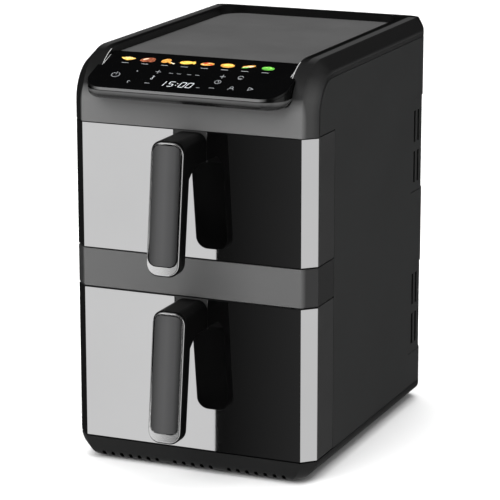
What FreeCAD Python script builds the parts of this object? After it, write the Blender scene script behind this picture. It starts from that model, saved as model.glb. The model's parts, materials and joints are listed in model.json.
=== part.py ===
import FreeCAD, Part
import math
import os
import re

import Sketcher

# A two-drawer air fryer, in millimetres. +Z is up, the drawers open towards -Y, and the
# origin is on the ground, at the middle of the whole object's footprint.

os.makedirs("parts", exist_ok=True)

SIZES = {
    # casing
    "body_width": 260, "body_depth": 340, "body_height": 421, "handle_reach": 68,
    "foot_height": 3, "foot_radius": 9, "foot_inset": 40, "base_height": 21, "lower_height": 158,
    "band_height": 40, "upper_height": 129, "side_drop": 17, "side_return": 56,
    "side_nose": 16, "edge_chamfer": 13, "rear_radius": 29, "brow_radius": 52,
    "nose_radius": 34, "wall": 3, "seam": 0.6, "skin": 0.8, "rear_panel_width": 172,
    # base
    "base_bend": 24, "base_front_corner": 20, "base_front_bend": 9, "base_rear_bend": 16,
    "base_slot": 4.2, "base_slot_pitch": 9.9, "base_slot_low": 1, "base_slot_high": 6,
    "slot_round": 1.9,
    # vents
    "vent_inset": 59, "vent_wrap": 26, "vent_recess": 0.8, "vent_wall": 2, "vent_slot": 5,
    "vent_pitch": 11, "vent_row": 34, "vent_row_gap": 10, "vent_margin": 10, "vent_first": 10.5,
    "vent_corner": 4, "lower_vent_rise": 36, "lower_vent_height": 99, "upper_vent_rise": 17,
    "upper_vent_height": 102, "rear_vent_width": 90, "rear_vent_height": 48,
    # top
    "rim_width": 29, "rear_rim": 12, "tray_drop": 7, "tray_plate": 3, "tray_ledge": 7,
    "tray_radius": 25, "rim_shell": 3,
    # console
    "pod_reach": 27.5, "pod_depth": 41, "pod_spread": 4, "pod_shoulder": 13, "pod_corner": 22,
    "pod_wall": 2.5, "pod_nose": 14, "lip_height": 9, "lip_bend": 8, "glass_thickness": 3,
    "glass_front_drop": 29, "glass_rear_drop": 4.3,
    "board_drop": 8, "board_thickness": 1.6, "board_start": 24, "board_run": 34,
    "display_width": 70, "display_start": 29, "display_run": 24, "spring_radius": 2.5,
    "key_column": 48, "key_pitch": 18, "key_start": 31, "key_row": 20,
    # chambers
    "cavity_width": 212, "cavity_depth": 228, "sheet": 0.6, "liner_floor_gap": 4,
    "liner_top_gap": 5, "flange_inset": 6, "chassis_gap": 5, "chassis_rise": 1, "chassis_sheet": 0.8,
    "chassis_clear": 12, "chassis_window": 35, "chassis_frame": 25, "shelf_sheet": 1,
    "shelf_rise": 3, "rail_height": 4.7, "rail_width": 12, "rail_spacing": 152,
    "guard_back": 34, "guard_slot": 4, "guard_slot_length": 50, "guard_slot_gap": 7,
    "guard_margin": 13,
    # heaters, fans and motors
    "heater_back": 27, "heater_radius": 46, "heater_tube": 3.2, "heater_leg": 2.6,
    "heater_tail": 8, "fan_radius": 38, "hot_fan_back": 5, "hot_fan_depth": 13,
    "cool_fan_gap": 4, "cool_fan_depth": 8, "hub_radius": 8, "blade": 1.5, "shaft_radius": 3,
    "shaft_fit": 0.05, "shaft_tail": 16, "shaft_cap": 5, "motor_radius": 26, "motor_length": 26,
    "bracket_depth": 17, "bracket_width": 100, "bracket_height": 30, "bracket_foot": 10,
    # drawers
    "basket_width": 198, "basket_front": 20, "basket_length": 222, "basket_wall": 1,
    "basket_radius": 28, "basket_top_gap": 16, "run_gap": 0.3, "plate_lift": 12,
    "plate_sheet": 1.6, "plate_gap": 2.5, "plate_hole": 3, "plate_pitch": 20, "plate_margin": 26,
    "bumper_place": 60, "bumper_length": 16, "bumper_width": 12,
    "boss_radius": 6, "boss_spacing": 80, "screw_radius": 2, "screw_fit": 0.1,
    "screw_length": 12, "back_plate": 2.5, "magnet_size": 10, "magnet_height": 12,
    # handles
    "handle_width": 35, "handle_length": 130.5, "handle_top_reach": 52.5, "arm_drop": 28,
    "arm_slope": 10, "arm_waist": 3, "arm_root": 10,
    "handle_thickness": 13, "trim_width": 34, "trim_thickness": 2,
    "grip_width": 30, "grip_crown": 1.8, "grip_bend": 60, "handle_corner": 12, "arm_corner": 10,
    "arm_bend": 14, "trim_corner": 12,
    "grip_corner": 8, "trim_top": 2.4, "handle_chin": 10, "handle_drop": 2,
    "trim_gap": 0.2,
    # electrics
    "rear_screw": 1.8, "screw_rise": 8, "screw_inset": 9, "sleeve_wall": 3, "tab_width": 16,
    "supply_width": 150, "supply_length": 130, "supply_back": 40, "standoff": 6, "post_radius": 3,
    "inlet_width": 30, "inlet_height": 24, "inlet_rise": 40, "inlet_flange": 3,
    "inlet_length": 11, "inlet_bore": 6, "cutout_radius": 8, "cutout_height": 4.5,
    "switch_width": 8, "switch_length": 14, "switch_inset": 4,
}

PLACES = {
    "half": "body_width / 2",
    "front": "(handle_reach - body_depth) / 2",
    "rear": "front + body_depth",
    "base_top": "foot_height + base_height",
    "lower_low": "base_top",
    "lower_high": "base_top + lower_height",
    "upper_low": "lower_high + band_height",
    "upper_high": "upper_low + upper_height",
    "side_top": "body_height - side_drop",
    "flat_half": "half - edge_chamfer",
    "opening_half": "half - rim_width",
    "tray_top": "body_height - tray_drop",
    "tray_under": "tray_top - tray_plate",
    "pod_half": "opening_half - seam",
    "pod_wide": "opening_half + pod_spread",
    "pod_back": "front + pod_depth",
    "pod_step": "front + pod_shoulder",
    "pod_nose_face": "front - pod_reach",
    "glass_front": "body_height - glass_front_drop",
    "glass_rise": "glass_front_drop - glass_rear_drop",
    "glass_low": "glass_front - glass_thickness",
    "pod_low": "glass_low - lip_height",
    "flange_front": "front + side_return + seam",
    "flange_half": "half - flange_inset",
    "liner_front": "flange_front + sheet",
    "liner_back": "liner_front + cavity_depth",
    "liner_half": "cavity_width / 2 + sheet",
    "chassis_half": "liner_half + chassis_gap",
    "chassis_back": "rear - chassis_clear",
    "basket_half": "basket_width / 2",
    "basket_back": "front + basket_front + basket_length",
    "vent_front": "rear - vent_inset",
    "bracket_back": "liner_back + bracket_depth",
}

LEVELS = ("lower", "upper")

doc = FreeCAD.newDocument("air_fryer")
sheet = doc.addObject("Spreadsheet::Sheet", "Size")
for row, (name, size) in enumerate(SIZES.items(), 1):
    sheet.set(f"A{row}", name)
    sheet.set(f"B{row}", str(size))
    sheet.setAlias(f"B{row}", name)
doc.recompute()

nodes = []


def formula(text):
    """The expression that a line of plain size and place names stands for."""
    def swap(match):
        word = match.group(0)
        if word in PLACES:
            return "(" + formula(PLACES[word]) + ")"
        return "Size." + word if word in SIZES else word
    return re.sub(r"[a-z][a-z_]*", swap, str(text))


def value(text):
    return float(sheet.evalExpression(formula(text)))


def bind(thing, prop, text):
    thing.setExpression(prop, formula(text))


def node(thing, name):
    thing.Label = name
    nodes.append(thing)
    return thing


def bind_place(thing, x, y, z):
    bind(thing, "Placement.Base.x", x)
    bind(thing, "Placement.Base.y", y)
    bind(thing, "Placement.Base.z", z)


# PartDesign helpers

def new_body(name, x=None, y=None, z=None):
    body = node(doc.addObject("PartDesign::Body", name), name)
    if x is not None:
        bind_place(body, x, y, z)
    return body


def sketch_on(body, plane, offset, outlines):
    """A sketch on one of the body's own planes: outlines of points, or ("circle", u, v, r)."""
    sketch = body.newObject("Sketcher::SketchObject", "sketch")
    origin = [f for f in body.Origin.OriginFeatures if f.Role == plane + "_Plane"][0]
    sketch.AttachmentSupport = (origin, [""])
    sketch.MapMode = "FlatFace"
    sketch.setExpression("AttachmentOffset.Base.z", formula(offset))

    def pin(kind, shape, point, text):
        number = sketch.addConstraint(Sketcher.Constraint(kind, -1, 1, shape, point, value(text)))
        sketch.setExpression(f"Constraints[{number}]", formula(text))

    for outline in outlines:
        first = sketch.GeometryCount
        if outline[0] == "circle":
            u, v, radius = outline[1:]
            ring = Part.Circle(FreeCAD.Vector(value(u), value(v), 0), FreeCAD.Vector(0, 0, 1), value(radius))
            sketch.addGeometry(ring, False)
            pin("DistanceX", first, 3, u)
            pin("DistanceY", first, 3, v)
            number = sketch.addConstraint(Sketcher.Constraint("Radius", first, value(radius)))
            sketch.setExpression(f"Constraints[{number}]", formula(radius))
            continue
        if outline[0] == "round":
            draw_rounded(sketch, pin, *outline[1:])
            continue
        points = [FreeCAD.Vector(value(u), value(v), 0) for u, v in outline]
        for index, point in enumerate(points):
            following = points[(index + 1) % len(points)]
            sketch.addGeometry(Part.LineSegment(point, following), False)
        for index, (u, v) in enumerate(outline):
            after = (index + 1) % len(points)
            sketch.addConstraint(Sketcher.Constraint("Coincident", first + index, 2, first + after, 1))
            pin("DistanceX", first + index, 1, u)
            pin("DistanceY", first + index, 1, v)
    return sketch


def draw_rounded(sketch, pin, u_low, v_low, u_high, v_high, radius):
    """A rectangle with four equal round corners, as lines and tangent arcs."""
    first = sketch.GeometryCount
    left, right, bottom, top, bend = value(u_low), value(u_high), value(v_low), value(v_high), value(radius)
    corners = [(right, bottom, -1, 1), (right, top, -1, -1), (left, top, 1, -1), (left, bottom, 1, 1)]
    middles = [FreeCAD.Vector(u + du * bend, v + dv * bend, 0) for u, v, du, dv in corners]
    for index, middle in enumerate(middles):
        before = middles[index - 1]
        outward = FreeCAD.Vector(*[(0, -bend), (bend, 0), (0, bend), (-bend, 0)][index], 0)
        sketch.addGeometry(Part.LineSegment(before + outward, middle + outward), False)
        ring = Part.Circle(middle, FreeCAD.Vector(0, 0, 1), bend)
        start = math.radians(90 * index - 90)
        sketch.addGeometry(Part.ArcOfCircle(ring, start, start + math.pi / 2), False)
    for index in range(8):
        sketch.addConstraint(Sketcher.Constraint("Tangent", first + index, 2, first + (index + 1) % 8, 1))
    for index, kind in enumerate(("Horizontal", "Vertical") * 2):
        sketch.addConstraint(Sketcher.Constraint(kind, first + 2 * index))
    for index in (3, 5, 7):
        sketch.addConstraint(Sketcher.Constraint("Equal", first + 1, first + index))
    number = sketch.addConstraint(Sketcher.Constraint("Radius", first + 1, bend))
    sketch.setExpression(f"Constraints[{number}]", formula(radius))
    pin("DistanceY", first, 1, v_low)
    pin("DistanceX", first + 2, 1, u_high)
    pin("DistanceY", first + 4, 1, v_high)
    pin("DistanceX", first + 6, 1, u_low)


def extrude(body, plane, low, high, *outlines, cut=False):
    """Adds, or with cut removes, the outlines between two places along the plane's axis."""
    before = body.Shape.Volume if body.Tip else 0
    offset = f"-({high})" if plane == "XZ" else low
    sketch = sketch_on(body, plane, offset, outlines)
    feature = body.newObject("PartDesign::Pocket" if cut else "PartDesign::Pad", "step")
    feature.Profile = sketch
    feature.Reversed = cut
    bind(feature, "Length", f"({high}) - ({low})")
    doc.recompute()
    change = body.Shape.Volume - before
    if abs(change) < 0.01 or (change < 0) != cut:
        raise ValueError(f"{body.Label}: an extrusion between {low} and {high} went wrong")
    return feature


def rectangle(u_low, v_low, u_high, v_high):
    return [(u_low, v_low), (u_high, v_low), (u_high, v_high), (u_low, v_high)]


def across(half, v_low, v_high):
    """A rectangle centred on the object's middle plane."""
    return rectangle(f"-({half})", v_low, half, v_high)


def dress(body, kind, size, test):
    """Fillets or chamfers the edges of the body that pass the test on their box."""
    base = body.Tip
    feature = body.newObject("PartDesign::" + kind, kind.lower())
    names = [f"Edge{i}" for i, edge in enumerate(base.Shape.Edges, 1) if test(edge.BoundBox)]
    feature.Base = (base, names)
    bind(feature, "Radius" if kind == "Fillet" else "Size", size)
    doc.recompute()
    if not names or "Invalid" in feature.State:
        raise ValueError(f"{body.Label}: {kind} of {size} failed on {len(names)} edges")
    return feature


def in_order(one, other):
    """Two formulas, the one with the lower value first."""
    return sorted([one, other], key=value)


def near(one, other):
    return abs(one - other) < 0.05


def upright(x, y):
    """A test for vertical edges at plus or minus x, and at y."""
    x, y = value(x), value(y)
    return lambda box: box.ZLength > 0.3 and box.XLength < 0.01 and box.YLength < 0.01 and (
        near(abs(box.XMin), x) and near(box.YMin, y))


def crosswise(y, z):
    """A test for edges along X at y and z."""
    y, z = value(y), value(z)
    return lambda box: box.XLength > 0.3 and near(box.YMin, y) and near(box.YMax, y) and (
        near(box.ZMin, z) and near(box.ZMax, z))


def repeat(body, feature, axis, length, count):
    pattern = body.newObject("PartDesign::LinearPattern", "row")
    pattern.Originals = [feature]
    line = [f for f in body.Origin.OriginFeatures if f.Role == axis + "_Axis"][0]
    pattern.Direction = (line, [""])
    pattern.Occurrences = count
    bind(pattern, "Length", length)
    body.Tip = pattern
    doc.recompute()


# Part helpers

def box(x_low, x_high, y_low, y_high, z_low, z_high):
    block = doc.addObject("Part::Box", "block")
    bind(block, "Length", f"({x_high}) - ({x_low})")
    bind(block, "Width", f"({y_high}) - ({y_low})")
    bind(block, "Height", f"({z_high}) - ({z_low})")
    bind_place(block, x_low, y_low, z_low)
    return block


TURNS = {
    "X": FreeCAD.Rotation(FreeCAD.Vector(0, 1, 0), 90),
    "Y": FreeCAD.Rotation(FreeCAD.Vector(1, 0, 0), -90),
    "Z": FreeCAD.Rotation(),
}


def rod(axis, x, y, z, radius, length):
    """A cylinder that starts at a place and runs along an axis."""
    cylinder = doc.addObject("Part::Cylinder", "rod")
    cylinder.Placement.Rotation = TURNS[axis]
    bind(cylinder, "Radius", radius)
    bind(cylinder, "Height", length)
    bind_place(cylinder, x, y, z)
    return cylinder


def group(name, things):
    together = doc.addObject("Part::Compound", name)
    together.Links = things
    return node(together, name)


def fused(things):
    union = doc.addObject("Part::MultiFuse", "union")
    union.Shapes = things
    return union


def cut(base, tool):
    result = doc.addObject("Part::Cut", "cut")
    result.Base = base
    result.Tool = tool
    return result


# Casing

def plan_front(inset, back):
    """The front outline in plan, with its two corner chamfers, set in by an amount."""
    slope = f"({inset}) * 1.4142"
    shift = f"({inset}) * 0.4142"
    return [("-half", back), ("-half", f"front + edge_chamfer + {slope}"),
            (f"-flat_half + {shift}", f"front + {inset}"), (f"flat_half - {shift}", f"front + {inset}"),
            ("half", f"front + edge_chamfer + {slope}"), ("half", back)]


def plan_front_inner(inset, back):
    """The same outline one wall further in, as a room open at the back."""
    step = f"({inset} + wall)"
    edge = "half - wall"
    return [(f"-({edge})", back), (f"-({edge})", f"front + edge_chamfer + {step} * 0.4142 + wall"),
            (f"-flat_half + {step} * 0.4142", f"front + {step}"),
            (f"flat_half - {step} * 0.4142", f"front + {step}"),
            (edge, f"front + edge_chamfer + {step} * 0.4142 + wall"), (edge, back)]


def trim_corners(body, plane, low, high, u_low, v_low, u_high, v_high, bend):
    """Cuts away what lies outside a rectangle with round corners, seen along the plane's axis."""
    extrude(body, plane, low, high,
            rectangle(f"{u_low} - 5", f"{v_low} - 5", f"{u_high} + 5", f"{v_high} + 5"),
            ("round", u_low, v_low, u_high, v_high, bend), cut=True)


def base_tray():
    """The tray that everything stands in, round underneath and open on top."""
    body = new_body("base_tray")
    floor, above = "foot_height + wall", "base_top + 3 * base_bend"
    inside = "front + edge_chamfer"
    whole = ("round", "-half", "foot_height", "half", above, "base_bend")
    narrow = ("round", "-flat_half", "foot_height", "flat_half", above, "base_front_corner")
    taper = body.newObject("PartDesign::AdditiveLoft", "taper")
    taper.Profile = sketch_on(body, "XZ", "-front", [narrow])
    taper.Sections = [sketch_on(body, "XZ", f"-({inside})", [whole])]
    taper.Ruled = True
    doc.recompute()
    extrude(body, "XZ", inside, "rear", whole)
    extrude(body, "XY", "base_top - seam", f"{above} + 1",
            across("half + 1", "front - 1", "rear + 1"), cut=True)
    trim_corners(body, "XY", "0", "base_top", "-half", "front - body_depth", "half", "rear", "rear_radius")
    trim_corners(body, "YZ", "-half - 1", "half + 1",
                 "front - 50", "foot_height", "rear", above, "base_rear_bend")
    trim_corners(body, "YZ", "-half - 1", "half + 1",
                 "front", "foot_height", "rear + 50", above, "base_front_bend")
    extrude(body, "XZ", f"{inside} + wall", "rear - rear_radius", (
        "round", "-half + wall", floor, "half - wall", above, "base_bend - wall"), cut=True)
    extrude(body, "XY", floor, "base_top", across(
        "flat_half - base_bend + wall", "front + base_front_bend", f"{inside} + wall + 1"), cut=True)
    extrude(body, "XY", floor, "base_top", across(
        "half - rear_radius", "rear - rear_radius - 1", "rear - base_rear_bend"), cut=True)
    for first, last in ((-10, -4), (-2, 2), (4, 10)):
        middle = f"{first} * base_slot_pitch"
        slot = extrude(body, "XZ", "front - 1", "front + base_front_bend + 1", (
            "round", f"{middle} - base_slot / 2", "foot_height + base_slot_low",
            f"{middle} + base_slot / 2", "foot_height + base_slot_high", "slot_round"), cut=True)
        repeat(body, slot, "X", f"{last - first} * base_slot_pitch", last - first + 1)
    return body


def rubber_feet():
    feet = []
    for x in ("-half + foot_inset", "half - foot_inset"):
        for y in ("front + foot_inset", "rear - foot_inset"):
            feet.append(rod("Z", x, y, "0", "foot_radius", "foot_height"))
    return group("rubber_feet", feet)


def corner_wall(name, side, set_in, thick, front_edge, low, high, listed=True):
    """A side wall that turns round the rear corner."""
    body = doc.addObject("PartDesign::Body", name)
    if listed:
        node(body, name)
    outer, inner = f"{side} * (half - {set_in})", f"{side} * (half - {set_in} - {thick})"
    toe = f"{side} * (rear_panel_width / 2 + seam)"
    back = f"rear - {set_in}"
    extrude(body, "XY", low, high, [
        (outer, front_edge), (outer, back), (toe, back), (toe, f"{back} - {thick}"),
        (inner, f"{back} - {thick}"), (inner, front_edge)])
    dress(body, "Fillet", f"rear_radius - {set_in}", upright(f"half - {set_in}", back))
    dress(body, "Fillet", f"rear_radius - {set_in} - {thick}",
          upright(f"half - {set_in} - {thick}", f"{back} - {thick}"))
    return body


def vent_spans():
    return [(f"{level}_low + {level}_vent_rise", f"{level}_low + {level}_vent_rise + {level}_vent_height")
            for level in LEVELS]


def vent_corners(y, low, high):
    """A test for the two front corners of a vent, which run along X."""
    y, low, high = value(y), value(low), value(high)
    return lambda box: box.XLength > 0.3 and near(box.YMin, y) and near(box.YMax, y) and (
        near(box.ZMin, low) or near(box.ZMin, high)) and box.ZLength < 0.01


def side_cover(name, side):
    body = corner_wall(name, side, "0", "wall", "front + side_return + seam",
                       "base_top", "side_top - seam")
    low, high = ("half - wall", "half") if side == 1 else ("-half", "-half + wall")
    extrude(body, "YZ", low, high, rectangle(
        "front + side_nose + seam", "upper_high + seam", "front + side_return + wall", "side_top - seam"))
    dress(body, "Fillet", "nose_radius - seam", crosswise("front + side_nose + seam", "side_top - seam"))
    low, high = ("half - vent_wrap", "half + 1") if side == 1 else ("-half - 1", "-half + vent_wrap")
    for bottom, top in vent_spans():
        extrude(body, "YZ", low, high, rectangle("vent_front", bottom, "rear + 1", top), cut=True)
        dress(body, "Fillet", "vent_corner", vent_corners("vent_front", bottom, top))
    return body


def vent_grille(side, bottom, top):
    """A grille that fills one opening of a side cover, a little below its surface."""
    low, high, edge = bottom + " + seam / 2", top + " - seam / 2", "vent_front + seam / 2"
    body = corner_wall("grille", side, "vent_recess", "vent_wall", edge, low, high, listed=False)
    lip = "(half - vent_wrap + seam / 2)"
    inner, outer = ("0", lip) if side == 1 else ("-" + lip, "0")
    extrude(body, "XY", f"{low} - 1", f"{high} + 1", rectangle(inner, edge, outer, "rear + 1"), cut=True)
    dress(body, "Fillet", "vent_corner - seam / 2", vent_corners(edge, low, high))
    inner, outer = ("half - vent_wrap", "half") if side == 1 else ("-half", "-half + vent_wrap")
    slots = []
    for row in range(2):
        z = f"{bottom} + vent_margin + {row} * (vent_row + vent_row_gap)"
        for column in range(4):
            y = f"vent_front + vent_first + {column} * vent_pitch"
            slots.append(rectangle(y, z, f"{y} + vent_slot", f"{z} + vent_row"))
    extrude(body, "YZ", inner, outer, *slots, cut=True)
    return body


SHELVES = ("lower_low + liner_floor_gap", "upper_low + liner_floor_gap", "upper_high + shelf_rise")
SCREW_PLACES = ("-(rear_panel_width / 2 - screw_inset)", "rear_panel_width / 2 - screw_inset")


def rear_cover():
    """The flat back, with a sleeve behind each screw that reaches the chassis."""
    body = new_body("rear_cover")
    extrude(body, "XZ", "rear - wall", "rear", across("rear_panel_width / 2", "base_top", "side_top - seam"))
    places = [(x, f"{top} + screw_rise") for x in SCREW_PLACES for top in SHELVES]
    sleeves = [("circle", x, z, "rear_screw + sleeve_wall") for x, z in places]
    bores = [("circle", x, z, "rear_screw + screw_fit") for x, z in places]
    sinks = [("circle", x, z, "2 * rear_screw + screw_fit") for x, z in places]
    extrude(body, "XZ", "chassis_back", "rear - wall + 0.5", *sleeves)
    extrude(body, "XZ", "chassis_back - 1", "rear + 1", *bores, cut=True)
    extrude(body, "XZ", "rear - rear_screw", "rear + 1", *sinks, cut=True)
    extrude(body, "XZ", "rear - wall - 1", "rear + 1", rectangle(
        "-inlet_width / 2 - screw_fit", "inlet_rise - screw_fit",
        "inlet_width / 2 + screw_fit", "inlet_rise + inlet_height + screw_fit"), cut=True)
    for level in LEVELS:
        middle = middle_of(level)
        first = extrude(body, "XZ", "rear - wall - 1", "rear + 1", rectangle(
            "-rear_vent_width / 2", f"{middle} - rear_vent_height / 2",
            "-rear_vent_width / 2 + vent_slot", f"{middle} + rear_vent_height / 2"), cut=True)
        repeat(body, first, "X", "rear_vent_width - vent_slot", 9)
    return body


def middle_band():
    body = new_body("middle_band")
    low, high = "lower_high + seam", "upper_low - seam"
    extrude(body, "XY", low, high, plan_front("0", "front + side_return"))
    extrude(body, "XY", f"{low} + wall", f"{high} - wall",
            plan_front_inner("0", "front + side_return + 1"), cut=True)
    for side in (-1, 1):
        inner, outer = in_order(f"{side} * (chassis_half - wall)", f"{side} * (chassis_half + 2 * wall)")
        extrude(body, "XY", low, high, rectangle(
            inner, "front + side_return - 2 * wall", outer, "liner_front"))
    return body


def top_frame():
    """Shoulders, brow and rim in one piece, open in the middle for the console and the tray."""
    body = new_body("top_frame")
    extrude(body, "YZ", "-half", "half", [
        ("front", "upper_high"), ("front", "body_height"), ("rear", "body_height"),
        ("rear", "side_top"), ("front + side_nose", "side_top"), ("front + side_nose", "upper_high")])
    front, top, half = value("front"), value("body_height"), value("half")
    dress(body, "Fillet", "brow_radius", crosswise("front", "body_height"))
    dress(body, "Fillet", "nose_radius", crosswise("front + side_nose", "side_top"))

    def shoulder(edge):
        side = near(abs(edge.XMin), half) and edge.XLength < 0.01
        outer = edge.YMax < front + 0.1 or edge.ZMin > top - 0.1
        brow = edge.ZMax > top - 0.1 and edge.YLength > 10
        return side and (outer or brow)

    dress(body, "Chamfer", "edge_chamfer", shoulder)
    trim_corners(body, "XY", "side_top - 1", "body_height + 1",
                 "-half", "front - body_depth", "half", "rear", "rear_radius")
    extrude(body, "XY", "tray_under", "body_height + 1",
            across("opening_half", "pod_back", "rear - rear_rim"), cut=True)
    dress(body, "Fillet", "tray_radius", upright("opening_half", "rear - rear_rim"))
    extrude(body, "XY", "side_top - 1", "tray_under + 1", across(
        "opening_half - tray_ledge", "pod_back + wall", "rear - rear_rim - tray_ledge"), cut=True)
    extrude(body, "XY", "pod_low - seam", "body_height + 1",
            across("opening_half", "front - 1", "pod_back + wall"), cut=True)
    extrude(body, "XY", "pod_low - seam", "body_height + 1",
            across("pod_wide + seam", "front - 1", "pod_step + seam"), cut=True)
    side, low, reach = value("pod_wide + seam"), value("pod_low - seam"), value("pod_step")
    dress(body, "Fillet", "lip_bend", lambda edge: near(abs(edge.XMin), side) and edge.XLength < 0.01
          and near(edge.ZMin, low) and near(edge.ZMax, low) and edge.YMin < reach)
    extrude(body, "XY", "upper_high - 1", "pod_low - wall",
            across("half - side_nose", "front + wall", "pod_back + wall"), cut=True)
    for side in (-1, 1):
        inner, outer = in_order(f"{side} * (opening_half + rim_shell)", f"{side} * (flat_half + 1)")
        extrude(body, "XY", "side_top - 1", "body_height - 2 * rim_shell", rectangle(
            inner, "front + brow_radius", outer, "rear - rear_radius"), cut=True)
    return body


def top_tray():
    body = new_body("top_tray")
    extrude(body, "XY", "tray_under", "tray_top",
            across("opening_half - run_gap", "pod_back + run_gap", "rear - rear_rim - run_gap"))
    dress(body, "Fillet", "tray_radius", upright("opening_half - run_gap", "rear - rear_rim - run_gap"))
    return body


# Console

def console_bezel():
    """The pod under the glass: wide in front of the shoulders, narrower between them."""
    body = new_body("console_bezel")
    nose, back, slope = "pod_nose_face", "pod_back - seam", "glass_rise / (pod_depth + pod_reach - seam)"

    def side_view(start, end):
        return [(start, "pod_low"), (start, f"glass_low + (({start}) - {nose}) * {slope}"),
                (end, f"glass_low + (({end}) - {nose}) * {slope}"), (end, "pod_low")]

    extrude(body, "YZ", "-pod_wide", "pod_wide", side_view(nose, "pod_step"))
    dress(body, "Fillet", "pod_corner", upright("pod_wide", nose))
    low, half = value("pod_low"), value("pod_wide")
    step = value("pod_step")
    dress(body, "Fillet", "lip_bend", lambda edge: near(edge.ZMin, low) and near(edge.ZMax, low)
          and not (near(edge.YMin, step) and near(edge.YMax, step)))
    extrude(body, "YZ", "-pod_half", "pod_half", side_view("pod_step - 1", back))
    extrude(body, "YZ", "-(pod_half - pod_wall)", "pod_half - pod_wall", rectangle(
        f"{nose} + pod_nose", "pod_low + pod_wall", f"{back} - pod_wall", "body_height + 1"), cut=True)
    return body


def control_glass():
    body = new_body("control_glass")
    nose, back = "pod_nose_face", "pod_back - seam"
    extrude(body, "XY", "glass_low - 1", "body_height", [
        ("-pod_half", back), ("-pod_half", "pod_step"), ("-pod_wide", "pod_step"), ("-pod_wide", nose),
        ("pod_wide", nose), ("pod_wide", "pod_step"), ("pod_half", "pod_step"), ("pod_half", back)])
    dress(body, "Fillet", "pod_corner", upright("pod_wide", nose))
    extrude(body, "YZ", "-pod_wide - 1", "pod_wide + 1", [
        (nose, "glass_front"), (back, "glass_front + glass_rise"), (back, "body_height + 1"),
        (nose, "body_height + 1")], cut=True)
    extrude(body, "YZ", "-pod_wide - 1", "pod_wide + 1", [
        (nose, "glass_low"), (back, "glass_low + glass_rise"), (back, "glass_low - 2"),
        (nose, "glass_low - 2")], cut=True)
    return body


SLOPE = "atan(glass_rise / (pod_depth + pod_reach - seam))"


def lay(thing, x, along, down):
    """Lays a piece parallel to the control glass, from the underside of its front edge."""
    y = formula(f"pod_nose_face + ({along}) * cos({SLOPE}) + ({down}) * sin({SLOPE})")
    z = formula(f"glass_low + ({along}) * sin({SLOPE}) - ({down}) * cos({SLOPE})")
    turn = f"rotation(vector(1; 0; 0); {formula(SLOPE)})"
    thing.setExpression("Placement", f"placement(vector({formula(x)}; {y}; {z}); {turn})")
    return thing


def control_board():
    body = new_body("control_board")
    extrude(body, "XY", "0", "board_thickness",
            across("pod_half - pod_wall - run_gap", "0", "board_run"))
    return lay(body, "0", "board_start", "board_drop + board_thickness")


def display_module():
    body = new_body("display_module")
    extrude(body, "XY", "0", "board_drop - run_gap", across("display_width / 2", "0", "display_run"))
    return lay(body, "0", "display_start", "board_drop")


def touch_springs():
    springs = []
    for side in (-1, 1):
        for column in range(3):
            for row in range(2):
                spring = doc.addObject("Part::Cylinder", "spring")
                bind(spring, "Radius", "spring_radius")
                bind(spring, "Height", "board_drop - run_gap")
                springs.append(lay(spring, f"{side} * (key_column + {column} * key_pitch)",
                                   f"key_start + {row} * key_row", "board_drop"))
    return group("touch_springs", springs)


# Inside the casing

def chassis():
    """Two upright plates, joined by a shelf under each chamber and one above them."""
    body = new_body("chassis")
    toe, foot = "rear - rear_radius - 1", "foot_height + wall + chassis_rise"

    def upright_plate(side):
        inner, outer = in_order(f"{side} * chassis_half", f"{side} * (chassis_half + chassis_sheet)")
        extrude(body, "YZ", inner, outer, [
            ("liner_front", foot), (toe, foot), (toe, "base_top + seam"),
            ("chassis_back", "base_top + seam"), ("chassis_back", "side_top"), ("liner_front", "side_top")])

    upright_plate(-1)
    for top in SHELVES:
        extrude(body, "XY", f"{top} - shelf_sheet", top,
                across("chassis_half", "liner_front", "chassis_back"))
    upright_plate(1)
    windows = [rectangle("liner_front + chassis_window", f"{level}_low + chassis_frame",
                         "chassis_back - chassis_window", f"{level}_high - chassis_frame")
               for level in LEVELS]
    extrude(body, "YZ", "-chassis_half - 5", "chassis_half + 5", *windows, cut=True)
    for top in SHELVES:
        reach = f"{top} + screw_rise + tab_width / 2"
        tabs = [rectangle(f"{x} - tab_width / 2", f"{top} - shelf_sheet", f"{x} + tab_width / 2", reach)
                for x in SCREW_PLACES]
        extrude(body, "XZ", "chassis_back - shelf_sheet", "chassis_back", *tabs)
    bores = [("circle", x, f"{top} + screw_rise", "rear_screw + screw_fit")
             for x in SCREW_PLACES for top in SHELVES]
    extrude(body, "XZ", "chassis_back - 5", "chassis_back + 1", *bores, cut=True)
    return body


def power_board():
    """The supply board, on four posts that stand on the chassis's top shelf."""
    shelf = "upper_high + shelf_rise"
    under = f"{shelf} + standoff"
    near_edge, far_edge = "rear - supply_back - supply_length", "rear - supply_back"
    things = [box("-supply_width / 2", "supply_width / 2", near_edge, far_edge,
                  under, f"{under} + board_thickness")]
    for x in ("-supply_width / 2 + 2 * post_radius", "supply_width / 2 - 2 * post_radius"):
        for y in (f"{near_edge} + 2 * post_radius", f"{far_edge} - 2 * post_radius"):
            things.append(rod("Z", x, y, shelf, "post_radius", "standoff + 0.1"))
    things.append(box("-55", "-20", f"{far_edge} - 80", f"{far_edge} - 40", under, f"{under} + 22"))
    things.append(box("10", "40", f"{far_edge} - 70", f"{far_edge} - 46", under, f"{under} + 16"))
    things.append(rod("Z", "55", f"{far_edge} - 30", under, "8", "24"))
    return node(fused(things), "power_board")


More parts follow.
